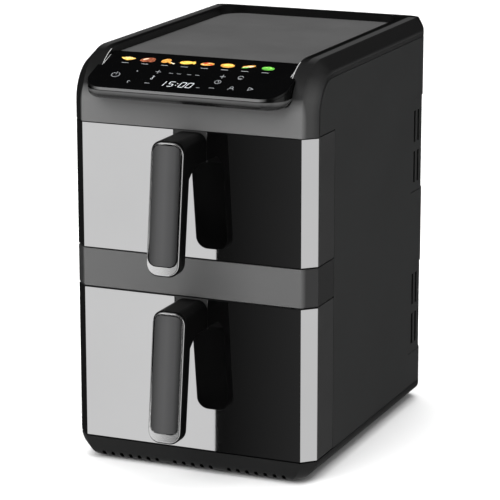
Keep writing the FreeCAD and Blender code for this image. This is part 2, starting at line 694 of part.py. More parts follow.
def cord_inlet():
    """The gland in the rear cover, flush with it."""
    body = new_body("cord_inlet")
    top = "inlet_rise + inlet_height"
    extrude(body, "XZ", "rear - inlet_length", "rear - wall", rectangle(
        "-inlet_width / 2 - inlet_flange", "inlet_rise - inlet_flange",
        "inlet_width / 2 + inlet_flange", f"{top} + inlet_flange"))
    extrude(body, "XZ", "rear - wall", "rear", rectangle(
        "-inlet_width / 2", "inlet_rise", "inlet_width / 2", top))
    extrude(body, "XZ", "rear - inlet_length + wall", "rear + 1",
            ("circle", "0", f"(inlet_rise + {top}) / 2", "inlet_bore"), cut=True)
    return body


def rear_screws():
    screws = []
    for x in SCREW_PLACES:
        for top in SHELVES:
            z = f"{top} + screw_rise"
            shank = rod("Y", x, "chassis_back - wall", z, "rear_screw", "chassis_clear + 1")
            head = rod("Y", x, "rear - rear_screw", z, "2 * rear_screw", "rear_screw - 0.4")
            screws.append(fused([shank, head]))
    return group("rear_screws", screws)


# What each chamber holds. The level is "lower" or "upper".

def middle_of(level):
    return f"(({level}_low + {level}_high) / 2)"


def liner(level):
    """The cavity, with a flange at the front that the drawer closes against."""
    body = new_body(level + "_liner")
    low, high = f"{level}_low + liner_floor_gap", f"{level}_high - liner_top_gap"
    extrude(body, "XY", low, high, across("liner_half", "liner_front", "liner_back"))
    extrude(body, "XZ", "flange_front", "liner_front", across(
        "flange_half", f"{level}_low + 1", f"{level}_high - 1"))
    extrude(body, "XZ", "flange_front - 1", "liner_back - sheet", across(
        "liner_half - sheet", f"{low} + sheet", f"{high} - sheet"), cut=True)
    middle = middle_of(level)
    holes = [("circle", "0", middle, "shaft_radius + 2"),
             ("circle", "-heater_radius", middle, "heater_leg + 0.3"),
             ("circle", "heater_radius", middle, "heater_leg + 0.3")]
    extrude(body, "XZ", "liner_back - 2 * sheet", "liner_back + 1", *holes, cut=True)
    return body


def rails(level):
    strips = []
    floor = f"{level}_low + liner_floor_gap + sheet"
    for side in (-1, 1):
        middle = f"{side} * rail_spacing / 2"
        strips.append(box(f"{middle} - rail_width / 2", f"{middle} + rail_width / 2",
                          "liner_front + 2", "liner_back - guard_back - 3", floor, f"{floor} + rail_height"))
    return group(level + "_rails", strips)


def fan_guard(level):
    body = new_body(level + "_fan_guard")
    place = "liner_back - guard_back"
    low, high = f"{level}_low + liner_floor_gap + sheet", f"{level}_high - liner_top_gap - sheet"
    extrude(body, "XZ", f"{place} - sheet", place, across(
        "liner_half - sheet - run_gap", f"{low} + run_gap", f"{high} - run_gap"))
    span = f"({high} - ({low}) - 2 * guard_margin - guard_slot)"
    slots = []
    for column in (-1, 0, 1):
        middle = f"{column} * (guard_slot_length + guard_slot_gap)"
        slots.append(rectangle(f"{middle} - guard_slot_length / 2", f"{low} + guard_margin",
                               f"{middle} + guard_slot_length / 2", f"{low} + guard_margin + guard_slot"))
    row = extrude(body, "XZ", f"{place} - 3 * sheet", f"{place} + sheet", *slots, cut=True)
    repeat(body, row, "Z", span, 10)
    return body


def heater(level):
    """A ring element with two legs that pass through the back of the liner."""
    ring = doc.addObject("Part::Torus", "ring")
    ring.Placement.Rotation = TURNS["Y"]
    bind(ring, "Radius1", "heater_radius")
    bind(ring, "Radius2", "heater_tube")
    bind_place(ring, "0", "liner_back - heater_back", middle_of(level))
    legs = [rod("Y", f"{side} * heater_radius", "liner_back - heater_back", middle_of(level),
                "heater_leg", "heater_back + heater_tail") for side in (-1, 1)]
    return node(fused([ring] + legs), level + "_heater")


def fan(name, level, start, depth, radius, blades):
    """A disc with radial blades, on a hub that is bored for the shaft."""
    body = new_body(name, "0", start, middle_of(level))
    extrude(body, "XZ", f"{depth} - blade", depth, ("circle", "0", "0", radius))
    extrude(body, "XZ", "0", depth, ("circle", "0", "0", "hub_radius"))
    blade = extrude(body, "XZ", "0", f"{depth} - blade", rectangle(
        "hub_radius - 1", "-blade / 2", f"{radius} - 1", "blade / 2"))
    ring = body.newObject("PartDesign::PolarPattern", "blades")
    ring.Originals = [blade]
    ring.Axis = ([f for f in body.Origin.OriginFeatures if f.Role == "Y_Axis"][0], [""])
    ring.Angle = 360
    ring.Occurrences = blades
    body.Tip = ring
    doc.recompute()
    extrude(body, "XZ", "-1", f"{depth} + 1", ("circle", "0", "0", "shaft_radius + shaft_fit / 2"), cut=True)
    return body


def shaft(level):
    start = "liner_back - hot_fan_back - hot_fan_depth"
    stem = rod("Y", "0", f"{start} - 2", middle_of(level), "shaft_radius",
               "hot_fan_back + hot_fan_depth + bracket_depth + shaft_tail")
    cap = rod("Y", "0", f"{start} - shaft_cap", middle_of(level), "shaft_radius + 2", "shaft_cap")
    return node(fused([stem, cap]), level + "_shaft")


def motor(level):
    body = new_body(level + "_motor", "0", "bracket_back", middle_of(level))
    extrude(body, "XZ", "0", "motor_length", ("circle", "0", "0", "motor_radius"))
    dress(body, "Fillet", "2", lambda b: b.XLength > 20 and near(b.YMin, value("motor_length")))
    extrude(body, "XZ", "-1", "shaft_tail + 2", ("circle", "0", "0", "shaft_radius + shaft_fit"), cut=True)
    return body


def motor_bracket(level):
    body = new_body(level + "_motor_bracket")
    half, gauge = "bracket_width / 2", "shelf_sheet"
    foot, seat = f"{half} + bracket_foot", f"liner_back + {gauge}"
    middle = middle_of(level)
    extrude(body, "XY", f"{middle} - bracket_height / 2", f"{middle} + bracket_height / 2", [
        (f"-({foot})", "liner_back"), (f"-{half}", "liner_back"),
        (f"-{half}", f"bracket_back - {gauge}"), (half, f"bracket_back - {gauge}"),
        (half, "liner_back"), (foot, "liner_back"), (foot, seat), (f"{half} + {gauge}", seat),
        (f"{half} + {gauge}", "bracket_back"), (f"-{half} - {gauge}", "bracket_back"),
        (f"-{half} - {gauge}", seat), (f"-({foot})", seat)])
    extrude(body, "XZ", f"bracket_back - 2 * {gauge}", "bracket_back + 1",
            ("circle", "0", middle, "shaft_radius + 4"), cut=True)
    return body


def reed_switches():
    switches = []
    for level in LEVELS:
        inner, low = "half - wall - switch_inset", f"{middle_of(level)} - magnet_height / 2"
        switches.append(box(f"{inner} - switch_width", inner, "liner_front", "liner_front + switch_length",
                            low, f"{low} + magnet_height"))
    return group("reed_switches", switches)


def magnet(level):
    """The drawer's magnet, which its reed switch feels when the drawer is shut."""
    back, low = "front + side_return - 2", f"{middle_of(level)} - magnet_height / 2"
    block = box("half - wall - magnet_size", "half - wall", f"{back} - magnet_size", back,
                low, f"{low} + magnet_height")
    return node(block, level + "_magnet")


def thermal_cutouts():
    discs = [rod("Z", "40", "0", f"{level}_high - liner_top_gap", "cutout_radius", "cutout_height")
             for level in LEVELS]
    return group("thermal_cutouts", discs)


# Drawers

def drawer_front(level):
    """The moulded front box of a drawer: front wall, top, bottom and two sides."""
    body = new_body(level + "_drawer_front")
    low, high = f"{level}_low + seam", f"{level}_high - seam"
    extrude(body, "XY", low, high, plan_front("skin", "front + side_return"))
    extrude(body, "XY", f"{low} + wall", f"{high} - wall",
            plan_front_inner("skin", "front + side_return + 1"), cut=True)
    middle = middle_of(level)
    bosses = [("circle", f"{side} * boss_spacing / 2", middle, "boss_radius") for side in (-1, 1)]
    extrude(body, "XZ", "front + skin + wall - 1", "front + basket_front - back_plate", *bosses)
    bores = [("circle", f"{side} * boss_spacing / 2", middle, "screw_radius + screw_fit")
             for side in (-1, 1)]
    extrude(body, "XZ", "front + skin + wall", "front + basket_front", *bores, cut=True)
    return body


def drawer_back_plate(level):
    """The inner wall of a drawer's front, which the basket hangs on."""
    body = new_body(level + "_drawer_back_plate")
    low, high = f"{level}_low + seam + wall + run_gap", f"{level}_high - seam - wall - run_gap"
    back = "front + basket_front"
    extrude(body, "XZ", f"{back} - back_plate", back, across("half - wall - run_gap - 2", low, high))
    bores = [("circle", f"{side} * boss_spacing / 2", middle_of(level), "screw_radius + screw_fit")
             for side in (-1, 1)]
    extrude(body, "XZ", f"{back} - 2 * back_plate", f"{back} + 1", *bores, cut=True)
    return body


def front_skin(level):
    """The bright sheet over the front and both chamfers, notched for the handle's arm."""
    body = new_body(level + "_front_skin")
    low, high = f"{level}_low + seam", f"{level}_high - seam"
    outer = plan_front("0", "rear")[1:5]
    inner = plan_front("skin", "rear")[1:5]
    extrude(body, "XY", low, high, outer + inner[::-1])
    under = f"{level}_high - handle_drop - arm_drop - trim_gap"
    extrude(body, "XZ", "front - 1", "front + skin + 1", across(
        "handle_width / 2 + trim_gap", under, f"{high} + 1"), cut=True)
    return body


def basket(level):
    body = new_body(level + "_basket")
    low = f"{level}_low + liner_floor_gap + sheet + rail_height + run_gap"
    high = f"{level}_high - basket_top_gap"
    start, end = "front + basket_front", "basket_back"
    extrude(body, "XY", low, high, ("round", "-basket_half", start, "basket_half", end, "basket_radius"))
    room = "basket_half - basket_wall"
    extrude(body, "XY", f"{low} + basket_wall", f"{high} + 1", (
        "round", f"-({room})", f"{start} + basket_wall", room, f"{end} - basket_wall",
        "basket_radius - basket_wall"), cut=True)
    holes = [("circle", f"{side} * boss_spacing / 2", middle_of(level), "screw_radius + screw_fit")
             for side in (-1, 1)]
    extrude(body, "XZ", f"{start} - 1", f"{start} + 2 * basket_wall", *holes, cut=True)
    return body


def drawer_screws(level):
    screws = []
    inside = "front + basket_front + basket_wall"
    for side in (-1, 1):
        x = f"{side} * boss_spacing / 2"
        shank = rod("Y", x, f"{inside} - screw_length", middle_of(level), "screw_radius", "screw_length")
        head = rod("Y", x, inside, middle_of(level), "2 * screw_radius", "screw_radius")
        screws.append(fused([shank, head]))
    return group(level + "_drawer_screws", screws)


def crisper_plate(level):
    """The perforated plate that lies in the basket."""
    body = new_body(level + "_crisper_plate")
    floor = f"{level}_low + liner_floor_gap + sheet + rail_height + run_gap + basket_wall"
    low = f"{floor} + plate_lift"
    half = "basket_half - basket_wall - plate_gap"
    start, end = "front + basket_front + basket_wall + plate_gap", "basket_back - basket_wall - plate_gap"
    extrude(body, "XY", low, f"{low} + plate_sheet", (
        "round", f"-({half})", start, half, end, "basket_radius - basket_wall - plate_gap"))
    row = [("circle", f"{place} * plate_pitch", f"{start} + plate_margin", "plate_hole")
           for place in range(-4, 5)]
    holes = extrude(body, "XY", f"{low} - 1", f"{low} + plate_sheet + 1", *row, cut=True)
    repeat(body, holes, "Y", f"{end} - ({start}) - 2 * plate_margin", 9)
    return body


def plate_bumpers(level):
    """Soft feet under the plate, that keep it off the basket's floor and walls."""
    floor = f"{level}_low + liner_floor_gap + sheet + rail_height + run_gap + basket_wall"
    feet = []
    for side in (-1, 1):
        outer = f"{side} * (basket_half - basket_wall - run_gap)"
        inner = f"{side} * (basket_half - basket_wall - bumper_width)"
        low, high = (outer, inner) if side < 0 else (inner, outer)
        for along in ("bumper_place", "basket_length - bumper_place"):
            y = f"front + basket_front + {along}"
            feet.append(box(low, high, f"{y} - bumper_length / 2", f"{y} + bumper_length / 2",
                            f"{floor} + run_gap", f"{floor} + plate_lift"))
    return group(level + "_plate_bumpers", feet)


# Handles

TILT = "atan((handle_reach - handle_top_reach) / handle_length)"


def handle_places(level):
    """The front face that the arm's shell offers to the trim: its top edge and bottom edge."""
    top = f"({level}_high - handle_drop)"
    face = "(front - handle_top_reach + trim_thickness)"
    toe = "(front - handle_reach + trim_thickness)"
    return top, f"({top} - handle_length)", face, toe


def handle_arm(level):
    """The back shell of a handle with the arm that joins it to the drawer."""
    body = new_body(level + "_handle_arm")
    top, low, face, toe = handle_places(level)
    extrude(body, "YZ", "-handle_width / 2", "handle_width / 2", [
        ("front + skin", top), (face, top), (toe, low), (f"{toe} + handle_thickness", low),
        (f"{face} + handle_thickness - arm_waist", f"{top} - arm_drop - arm_slope"),
        (f"{face} + handle_thickness + arm_root", f"{top} - arm_drop"),
        ("front + skin", f"{top} - arm_drop")])
    ends = [value(low), value(top)]
    half = value("handle_width / 2")

    def end_edge(level_z, box):
        side = near(abs(box.XMin), half) and box.XLength < 0.01
        return side and near(box.ZMin, level_z) and near(box.ZMax, level_z)

    dress(body, "Fillet", "handle_corner", lambda box: end_edge(ends[0], box))
    dress(body, "Fillet", "arm_corner", lambda box: end_edge(ends[1], box))
    dress(body, "Fillet", "arm_bend",
          crosswise(f"{face} + handle_thickness + arm_root", f"{top} - arm_drop"))
    return body


def on_handle(body, level):
    """Lays a piece on the tilted front face of a handle's shell."""
    top, low, face, toe = handle_places(level)
    turn = f"rotation(vector(1; 0; 0); -({formula(TILT)}))"
    body.setExpression("Placement", f"placement(vector(0; {formula(face)}; {formula(top)}); {turn})")
    return body


def handle_trim(level):
    """The bright frame round the grip, with a deep chin."""
    body = new_body(level + "_handle_trim")
    half, inner = "trim_width / 2", "grip_width / 2"
    extrude(body, "XZ", "-trim_thickness", "0", (
        "round", f"-{half}", "-handle_length + 0.5", half, "-1", "trim_corner"))
    extrude(body, "XZ", "-trim_thickness - 1", "1", (
        "round", f"-{inner} - trim_gap", "-handle_length + handle_chin - trim_gap", f"{inner} + trim_gap",
        "-1 - trim_top", "grip_corner + trim_gap"), cut=True)
    return on_handle(body, level)


def handle_grip(level):
    """The soft insert, crowned across its width."""
    body = new_body(level + "_handle_grip")
    inner = "grip_width / 2"
    extrude(body, "XZ", "-trim_thickness - grip_crown", "0", (
        "round", f"-{inner}", "-handle_length + handle_chin",
        inner, "-1 - trim_top - trim_gap", "grip_corner"))
    extrude(body, "XY", "-handle_length", "0",
            across("2 * grip_bend", "-trim_thickness - 2 * grip_crown", "3 * grip_bend"),
            ("circle", "0", "grip_bend - trim_thickness - grip_crown", "grip_bend"), cut=True)
    return on_handle(body, level)


def write_parts():
    doc.recompute()
    for thing in doc.Objects:
        if "Invalid" in thing.State or "Error" in thing.State:
            raise ValueError(f"{thing.Label} is {thing.State}")
    for thing in nodes:
        if thing.Shape.isNull() or not thing.Shape.Solids or not thing.Shape.isValid():
            raise ValueError(f"{thing.Label} has no valid shape")
        thing.Shape.exportStep(f"parts/{thing.Label}.step")


base_tray()
rubber_feet()
side_cover("left_side_cover", -1)
side_cover("right_side_cover", 1)
group("vent_grilles", [vent_grille(side, bottom, top)
                       for side in (-1, 1) for bottom, top in vent_spans()])
rear_cover()
middle_band()
top_frame()
top_tray()
console_bezel()
control_glass()
control_board()
display_module()
touch_springs()
chassis()
power_board()
cord_inlet()
rear_screws()
thermal_cutouts()
reed_switches()
for level in LEVELS:
    liner(level)
    rails(level)
    fan_guard(level)
    heater(level)
    fan(level + "_hot_fan", level, "liner_back - hot_fan_back - hot_fan_depth", "hot_fan_depth",
        "fan_radius", 12)
    fan(level + "_cooling_fan", level, "liner_back + cool_fan_gap", "cool_fan_depth", "fan_radius", 9)
    shaft(level)
    motor(level)
    motor_bracket(level)
    drawer_front(level)
    drawer_back_plate(level)
    front_skin(level)
    basket(level)
    drawer_screws(level)
    magnet(level)
    crisper_plate(level)
    plate_bumpers(level)
    handle_arm(level)
    handle_trim(level)
    handle_grip(level)
write_parts()
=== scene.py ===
import json
import math

import bpy
from mathutils import Matrix, Vector

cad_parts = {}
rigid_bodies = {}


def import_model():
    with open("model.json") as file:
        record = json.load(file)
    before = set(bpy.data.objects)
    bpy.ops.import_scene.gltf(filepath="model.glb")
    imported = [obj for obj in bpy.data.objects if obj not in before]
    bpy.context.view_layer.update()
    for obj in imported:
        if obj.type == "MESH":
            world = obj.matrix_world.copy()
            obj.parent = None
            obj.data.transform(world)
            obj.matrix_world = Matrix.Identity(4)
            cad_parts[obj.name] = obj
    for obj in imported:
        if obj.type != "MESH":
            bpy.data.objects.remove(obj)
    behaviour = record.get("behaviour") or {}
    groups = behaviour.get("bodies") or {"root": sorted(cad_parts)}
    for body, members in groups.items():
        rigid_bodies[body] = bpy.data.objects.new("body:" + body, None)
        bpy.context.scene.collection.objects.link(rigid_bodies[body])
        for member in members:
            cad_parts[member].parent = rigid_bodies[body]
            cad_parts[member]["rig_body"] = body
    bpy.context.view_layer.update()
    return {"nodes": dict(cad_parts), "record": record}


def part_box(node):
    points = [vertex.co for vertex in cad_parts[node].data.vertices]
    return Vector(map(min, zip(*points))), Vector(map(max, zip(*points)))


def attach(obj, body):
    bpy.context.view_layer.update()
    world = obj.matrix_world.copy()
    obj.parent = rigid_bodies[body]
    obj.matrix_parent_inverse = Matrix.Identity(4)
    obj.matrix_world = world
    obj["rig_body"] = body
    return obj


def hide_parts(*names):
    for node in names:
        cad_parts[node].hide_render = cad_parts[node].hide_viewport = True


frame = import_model()
nodes = frame["nodes"]

levels = ("lower", "upper")
sides = {"left": -1, "right": 1}
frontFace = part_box("middle_band")[0].y
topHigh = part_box("top_frame")[1]
ventLow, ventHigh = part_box("vent_grilles")


def deselect():
    if bpy.context.object and bpy.context.object.mode != "OBJECT":
        bpy.ops.object.mode_set(mode="OBJECT")
    bpy.ops.object.select_all(action="DESELECT")


def makeActive(*things):
    deselect()
    for thing in things:
        thing.select_set(True)
    bpy.context.view_layer.objects.active = things[0]


def settle(thing, name=None):
    # leaves the place in the mesh and the object at the origin
    makeActive(thing)
    bpy.ops.object.transform_apply(location=True, rotation=True, scale=True)
    if name:
        thing.name = name
        thing.data.name = name
    return thing


def joined(name, things):
    makeActive(*things)
    if len(things) > 1:
        bpy.ops.object.join()
    return settle(bpy.context.object, name)


def copied(source):
    # a copy with a mesh of its own, free of the frame's marks
    made = source.copy()
    made.data = source.data.copy()
    bpy.context.scene.collection.objects.link(made)
    made.parent = None
    for key in [key for key in made.keys() if key.startswith("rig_")]:
        del made[key]
    return made


def applyAll(thing):
    makeActive(thing)
    for modifier in list(thing.modifiers):
        bpy.ops.object.modifier_apply(modifier=modifier.name)


def smooth(thing, degrees=32):
    makeActive(thing)
    bpy.ops.object.shade_smooth_by_angle(angle=math.radians(degrees), keep_sharp_edges=False)


def choose(thing, kind, chosen):
    # stays in edit mode, with only the chosen faces or vertices selected
    makeActive(thing)
    bpy.ops.object.mode_set(mode="EDIT")
    bpy.ops.mesh.select_mode(type=kind)
    bpy.ops.mesh.select_all(action="DESELECT")
    bpy.ops.object.mode_set(mode="OBJECT")
    for part in {"FACE": thing.data.polygons, "VERT": thing.data.vertices}[kind]:
        part.select = chosen(part)
    bpy.ops.object.mode_set(mode="EDIT")


def turnOutward(thing):
    makeActive(thing)
    bpy.ops.object.mode_set(mode="EDIT")
    bpy.ops.mesh.select_all(action="SELECT")
    bpy.ops.mesh.normals_make_consistent(inside=False)
    bpy.ops.object.mode_set(mode="OBJECT")


def paint(thing, material):
    thing.data.materials.clear()
    thing.data.materials.append(material)


class Wire:
    # one socket of a node, with the sums that the patterns use
    def __init__(self, finish, socket):
        self.finish = finish
        self.socket = socket

    def sum(self, operation, first, second=0.0):
        return self.finish.add("ShaderNodeMath", {"operation": operation}, {0: first, 1: second})

    def __add__(self, other):
        return self.sum("ADD", self, other)

    __radd__ = __add__

    def __sub__(self, other):
        return self.sum("SUBTRACT", self, other)

    def __rsub__(self, other):
        return self.sum("SUBTRACT", other, self)

    def __mul__(self, other):
        return self.sum("MULTIPLY", self, other)

    __rmul__ = __mul__

    def __abs__(self):
        return self.sum("ABSOLUTE", self)

    def __gt__(self, other):
        return self.sum("GREATER_THAN", self, other)


class Finish:
    # a material, with its principled shader ready and set to plain values
    def __init__(self, name, colour, roughness, metallic=0.0, **plain):
        self.material = bpy.data.materials.new(name)
        self.material.use_nodes = True
        self.tree = self.material.node_tree
        self.shader = self.tree.nodes["Principled BSDF"]
        self.colour = colour
        self.shader.inputs["Base Color"].default_value = (*colour, 1)
        self.shader.inputs["Roughness"].default_value = roughness
        self.shader.inputs["Metallic"].default_value = metallic
        for socket, number in plain.items():
            self.shader.inputs[socket.replace("_", " ")].default_value = number

    def add(self, kind, settings=None, sockets=None, output=0):
        made = self.tree.nodes.new(kind)
        for key, setting in (settings or {}).items():
            if key == "stops":
                self.setStops(made.color_ramp, setting)
            else:
                setattr(made, key, setting)
        for key, source in (sockets or {}).items():
            if isinstance(source, Wire):
                self.tree.links.new(source.socket, made.inputs[key])
            else:
                made.inputs[key].default_value = source
        return Wire(self, made.outputs[output])

    def setStops(self, ramp, stops):
        while len(ramp.elements) < len(stops):
            ramp.elements.new(0.5)
        for element, (place, shade) in zip(ramp.elements, stops):
            element.position = place
            element.color = (*shade, 1) if isinstance(shade, tuple) else (shade, shade, shade, 1)

    def feed(self, name, wire):
        self.tree.links.new(wire.socket, self.shader.inputs[name])

    def place(self, scale=(1, 1, 1)):
        spot = self.add("ShaderNodeTexCoord", output="Object")
        return self.add("ShaderNodeMapping", {}, {0: spot, "Scale": scale})

    def axis(self, number):
        # the distance along one of the frame's axes
        return self.add("ShaderNodeSeparateXYZ", {}, {0: self.place()}, number)

    def between(self, wire, low, high, top=1.0):
        # from 0 at low to top at high
        return self.add("ShaderNodeMapRange", {}, {0: wire, 1: low, 2: high, 4: top})

    def noise(self, scale, detail=3.0, rough=0.55, stretch=(1, 1, 1)):
        return self.add("ShaderNodeTexNoise", {}, {
            "Vector": self.place(stretch), "Scale": scale, "Detail": detail, "Roughness": rough})

    def ramp(self, wire, *stops):
        return self.add("ShaderNodeValToRGB", {"stops": stops}, {0: wire})

    def tint(self, amount, first, second):
        # a mix of two colours, each a plain one or a wire
        first, second = ((*end, 1) if isinstance(end, tuple) else end for end in (first, second))
        return self.add("ShaderNodeMix", {"data_type": "RGBA"}, {0: amount, 6: first, 7: second}, 2)

    def bump(self, height, strength, distance):
        self.feed("Normal", self.add("ShaderNodeBump", {}, {
            "Height": height, "Strength": strength, "Distance": distance}))

    def vary(self, amount, scale, low, high):
        # cloudy change of colour about the base
        shade = self.ramp(self.noise(scale, 4.0), (low, 0.0), (high, 1.0))
        darker = tuple(channel * (1 - amount) for channel in self.colour)
        lighter = tuple(min(1.0, channel * (1 + amount)) for channel in self.colour)
        self.feed("Base Color", self.tint(shade, darker, lighter))

    def clouded(self, scale, detail, spread, roughness):
        # a gloss that wanders by spread about the roughness
        self.feed("Roughness", self.noise(scale, detail) * spread + (roughness - spread / 2))


fineGrain, coarseGrain = 2600, 900  # noise scales of a textured moulding
satinGrainAndShade = {  # painted shade: where a satin face is painted darker just behind the flat front, as if those faces got less light; and its grain
    "start": frontFace + 0.0004, "end": frontFace + 0.004, "grain": 3200,
}
rim = {  # where the top frame's faces meet, in metres, and the painted light and shade tone of each face
    "inner": 0.1, "side": topHigh.x, "browEnd": frontFace + 0.034, "rear": topHigh.y - 0.0125,
    "browFade": 0.02, "browLow": 0.388, "browHigh": 0.41,
    "inside": (0.0012, 0.0012, 0.0012), "flat": (0.038, 0.038, 0.038), "chamfer": (0.0075, 0.0075, 0.0075),
    "foot": (0.022, 0.022, 0.022), "shoulder": (0.036, 0.036, 0.036), "shade": (0.006, 0.006, 0.006),
}


def mouldedPlastic(name, colour, roughness, grain=fineGrain, depth=0.00004, strength=0.25):
    # spark-eroded moulding: a fine grain, a faint cloudiness in shade and in gloss
    finish = Finish(name, colour, roughness)
    finish.vary(0.08, 18, 0.3, 0.7)
    finish.bump(finish.noise(grain, 2.0) * 0.6 + finish.noise(grain * 0.35, 2.0) * 0.4, strength, depth)
    finish.clouded(9, 3.0, 0.12, roughness)
    return finish.material


def casingPlastic(name, colour, base, roughness, baseTop):
    # the casing's textured black, darker on the tray underneath
    finish = Finish(name, colour, roughness, Specular_IOR_Level=0.3)
    cloud = finish.ramp(finish.noise(18, 4.0), (0.3, 0.92), (0.7, 1.0))
    finish.feed("Base Color", finish.tint((finish.axis(2) > baseTop) * cloud, base, colour))
    finish.bump(finish.noise(fineGrain, 2.0) * 0.6 + finish.noise(coarseGrain, 2.0) * 0.4, 0.25, 0.00004)
    finish.clouded(9, 3.0, 0.12, roughness)
    return finish.material


def satinFace(finish, roughness):
    finish.bump(finish.noise(satinGrainAndShade["grain"], 2.0), 0.16, 0.00003)
    finish.clouded(9, 3.0, 0.1, roughness)
    return finish.material


def fasciaPlastic(name, front, behind, roughness):
    # satin face with painted shade: darker behind the flat front, where the faces turn away from the front
    # light
    finish = Finish(name, front, roughness, Specular_IOR_Level=0.35)
    shadeBehindFront = finish.between(finish.axis(1), satinGrainAndShade["start"], satinGrainAndShade["end"])
    finish.feed("Base Color", finish.tint(shadeBehindFront * 0.97 + finish.noise(20, 4.0) * 0.05, front, behind))
    return satinFace(finish, roughness)


def rimPlastic(name, front, behind, roughness):
    # the shoulders' satin face, and behind the brow the rim, painted with light and shade: painted shade
    # inside, a paler painted-lit flat, a dark chamfer
    finish = Finish(name, front, roughness, Specular_IOR_Level=0.35)
    depth = finish.axis(1)
    sideways = finish.between(finish.axis(0), -rim["side"], rim["side"])
    # painted highlight on the right shoulder's chamfer, painted shade on the left shoulder
    brow = finish.ramp(sideways, (0.0, rim["shade"]), (0.2, rim["shade"]), (0.5, behind), (0.945, behind),
                       (0.96, rim["shoulder"]), (0.98, rim["shoulder"]), (1.0, behind))
    # painted shade towards the top of the brow
    high = finish.between(finish.axis(2), rim["browLow"], rim["browHigh"], 0.8)
    brow = finish.tint(high, brow, rim["shade"])
    across = finish.between(abs(finish.axis(0)), rim["inner"], rim["side"])
    crest = finish.ramp(across, (0.0, rim["inside"]), (0.26, rim["inside"]), (0.3, rim["flat"]),
                        (0.53, rim["flat"]), (0.58, rim["chamfer"]), (0.93, rim["chamfer"]),
                        (0.99, rim["foot"]))
    shoulder = finish.tint(finish.between(depth, satinGrainAndShade["start"], satinGrainAndShade["end"]), front, brow)
    beyond = finish.between(depth, rim["browEnd"], rim["browEnd"] + rim["browFade"])
    lit = finish.tint(beyond, shoulder, crest)
    # painted shade: the rear rim is painted black
    finish.feed("Base Color", finish.tint(depth > rim["rear"], lit, rim["inside"]))
    return satinFace(finish, roughness)


def bezelGloss(name, bottom, top, roughness):
    # polished lip, painted by height: painted shade underneath, a painted highlight near the top, painted
    # shade again in the gap under the glass
    finish = Finish(name, (0.01, 0.01, 0.01), roughness)
    rise = finish.between(finish.axis(2), bottom, top)
    finish.feed("Base Color", finish.ramp(
        rise, (0.0, 0.002), (0.45, 0.008), (0.8, 0.068), (0.9, 0.06), (0.95, 0.001)))
    finish.clouded(14, 4.0, 0.08, roughness)
    finish.bump(finish.noise(420, 2.0), 0.04, 0.00002)
    return finish.material


def glossPlastic(name, colour, roughness, **plain):
    finish = Finish(name, colour, roughness, **plain)
    finish.vary(0.1, 30, 0.35, 0.65)
    finish.clouded(14, 4.0, 0.08, roughness + 0.01)
    finish.bump(finish.noise(420, 2.0), 0.04, 0.00002)
    return finish.material


def mirrorSteel(name, colour, roughness):
    # polished sheet: nearly flat, a trace of polishing lines and wiped smears
    finish = Finish(name, colour, roughness, 1.0)
    lines = finish.noise(60, 3.0, 0.6, (1.0, 1.0, 90.0))
    smear = finish.ramp(finish.noise(7, 4.0), (0.35, 0.0), (0.75, 1.0))
    finish.feed("Roughness", smear * 0.01 + lines * 0.006 + (roughness - 0.006))
    finish.feed("Base Color", finish.tint(smear, colour, tuple(c * 0.96 for c in colour)))
    finish.bump(lines, 0.01, 0.00001)
    return finish.material


def satinChrome(name, colour, roughness):
    # plating over a moulding: fine lines across, a soft even shine
    finish = Finish(name, colour, roughness, 0.93)
    lines = finish.noise(260, 3.0, 0.6, (1.0, 1.0, 30.0))
    finish.feed("Base Color", finish.tint(lines, tuple(c * 0.9 for c in colour), colour))
    finish.feed("Roughness", lines * 0.08 + (roughness - 0.04))
    finish.bump(lines, 0.02, 0.00002)
    return finish.material


def sheetMetal(name, colour, roughness, direction=(1, 1, 60), spangle=0.0):
    # rolled sheet with fine lines one way, and a zinc spangle where it has one
    finish = Finish(name, colour, roughness, 1.0)
    lines = finish.noise(220, 3.0, 0.6, direction)
    blotch = finish.add("ShaderNodeTexVoronoi", {"feature": "F1"}, {
        "Vector": finish.place(), "Scale": 160.0}, "Color")
    blotch = finish.add("ShaderNodeSeparateColor", {}, {0: blotch})
    shade = blotch * spangle + lines * (1 - spangle)
    finish.feed("Base Color", finish.tint(shade, tuple(c * 0.86 for c in colour), colour))
    finish.feed("Roughness", shade * 0.14 + (roughness - 0.07))
    finish.bump(lines, 0.06, 0.00003)
    return finish.material


def nonStick(name, colour, roughness):
    # sprayed coating: orange peel with fine pale specks
    finish = Finish(name, colour, roughness, 0.0, Coat_Weight=0.25, Coat_Roughness=0.25)
    specks = finish.ramp(finish.noise(1500, 1.0), (0.68, 0.0), (0.76, 1.0))
    finish.feed("Base Color", finish.tint(specks, colour, (0.2, 0.2, 0.2)))
    finish.bump(finish.noise(700, 2.0), 0.12, 0.00005)
    finish.clouded(25, 3.0, 0.14, roughness)
    return finish.material


def softRubber(name, colour, roughness, **plain):
    finish = Finish(name, colour, roughness, 0.0, Sheen_Weight=0.15, **plain)
    finish.vary(0.12, 60, 0.3, 0.7)
    finish.bump(finish.noise(1800), 0.3, 0.00005)
    return finish.material


def gripRubber(name, colour, edge, roughness):
    # moulded soft grip with painted shading: paler down its middle, darker towards its sides, as light
    # falls on a rounded face
    finish = Finish(name, colour, roughness, 0.0, Sheen_Weight=0.1)
    low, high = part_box("upper_handle_grip")
    across = finish.between(finish.axis(0), low.x, high.x)
    paintedPillowShade = finish.ramp(across, (0.0, edge), (0.3, 0.8), (0.5, 1.0), (0.8, 0.8), (1.0, edge))
    finish.feed("Base Color", finish.tint(paintedPillowShade, (0.0, 0.0, 0.0), colour))
    finish.bump(finish.noise(2400), 0.3, 0.00005)
    return finish.material


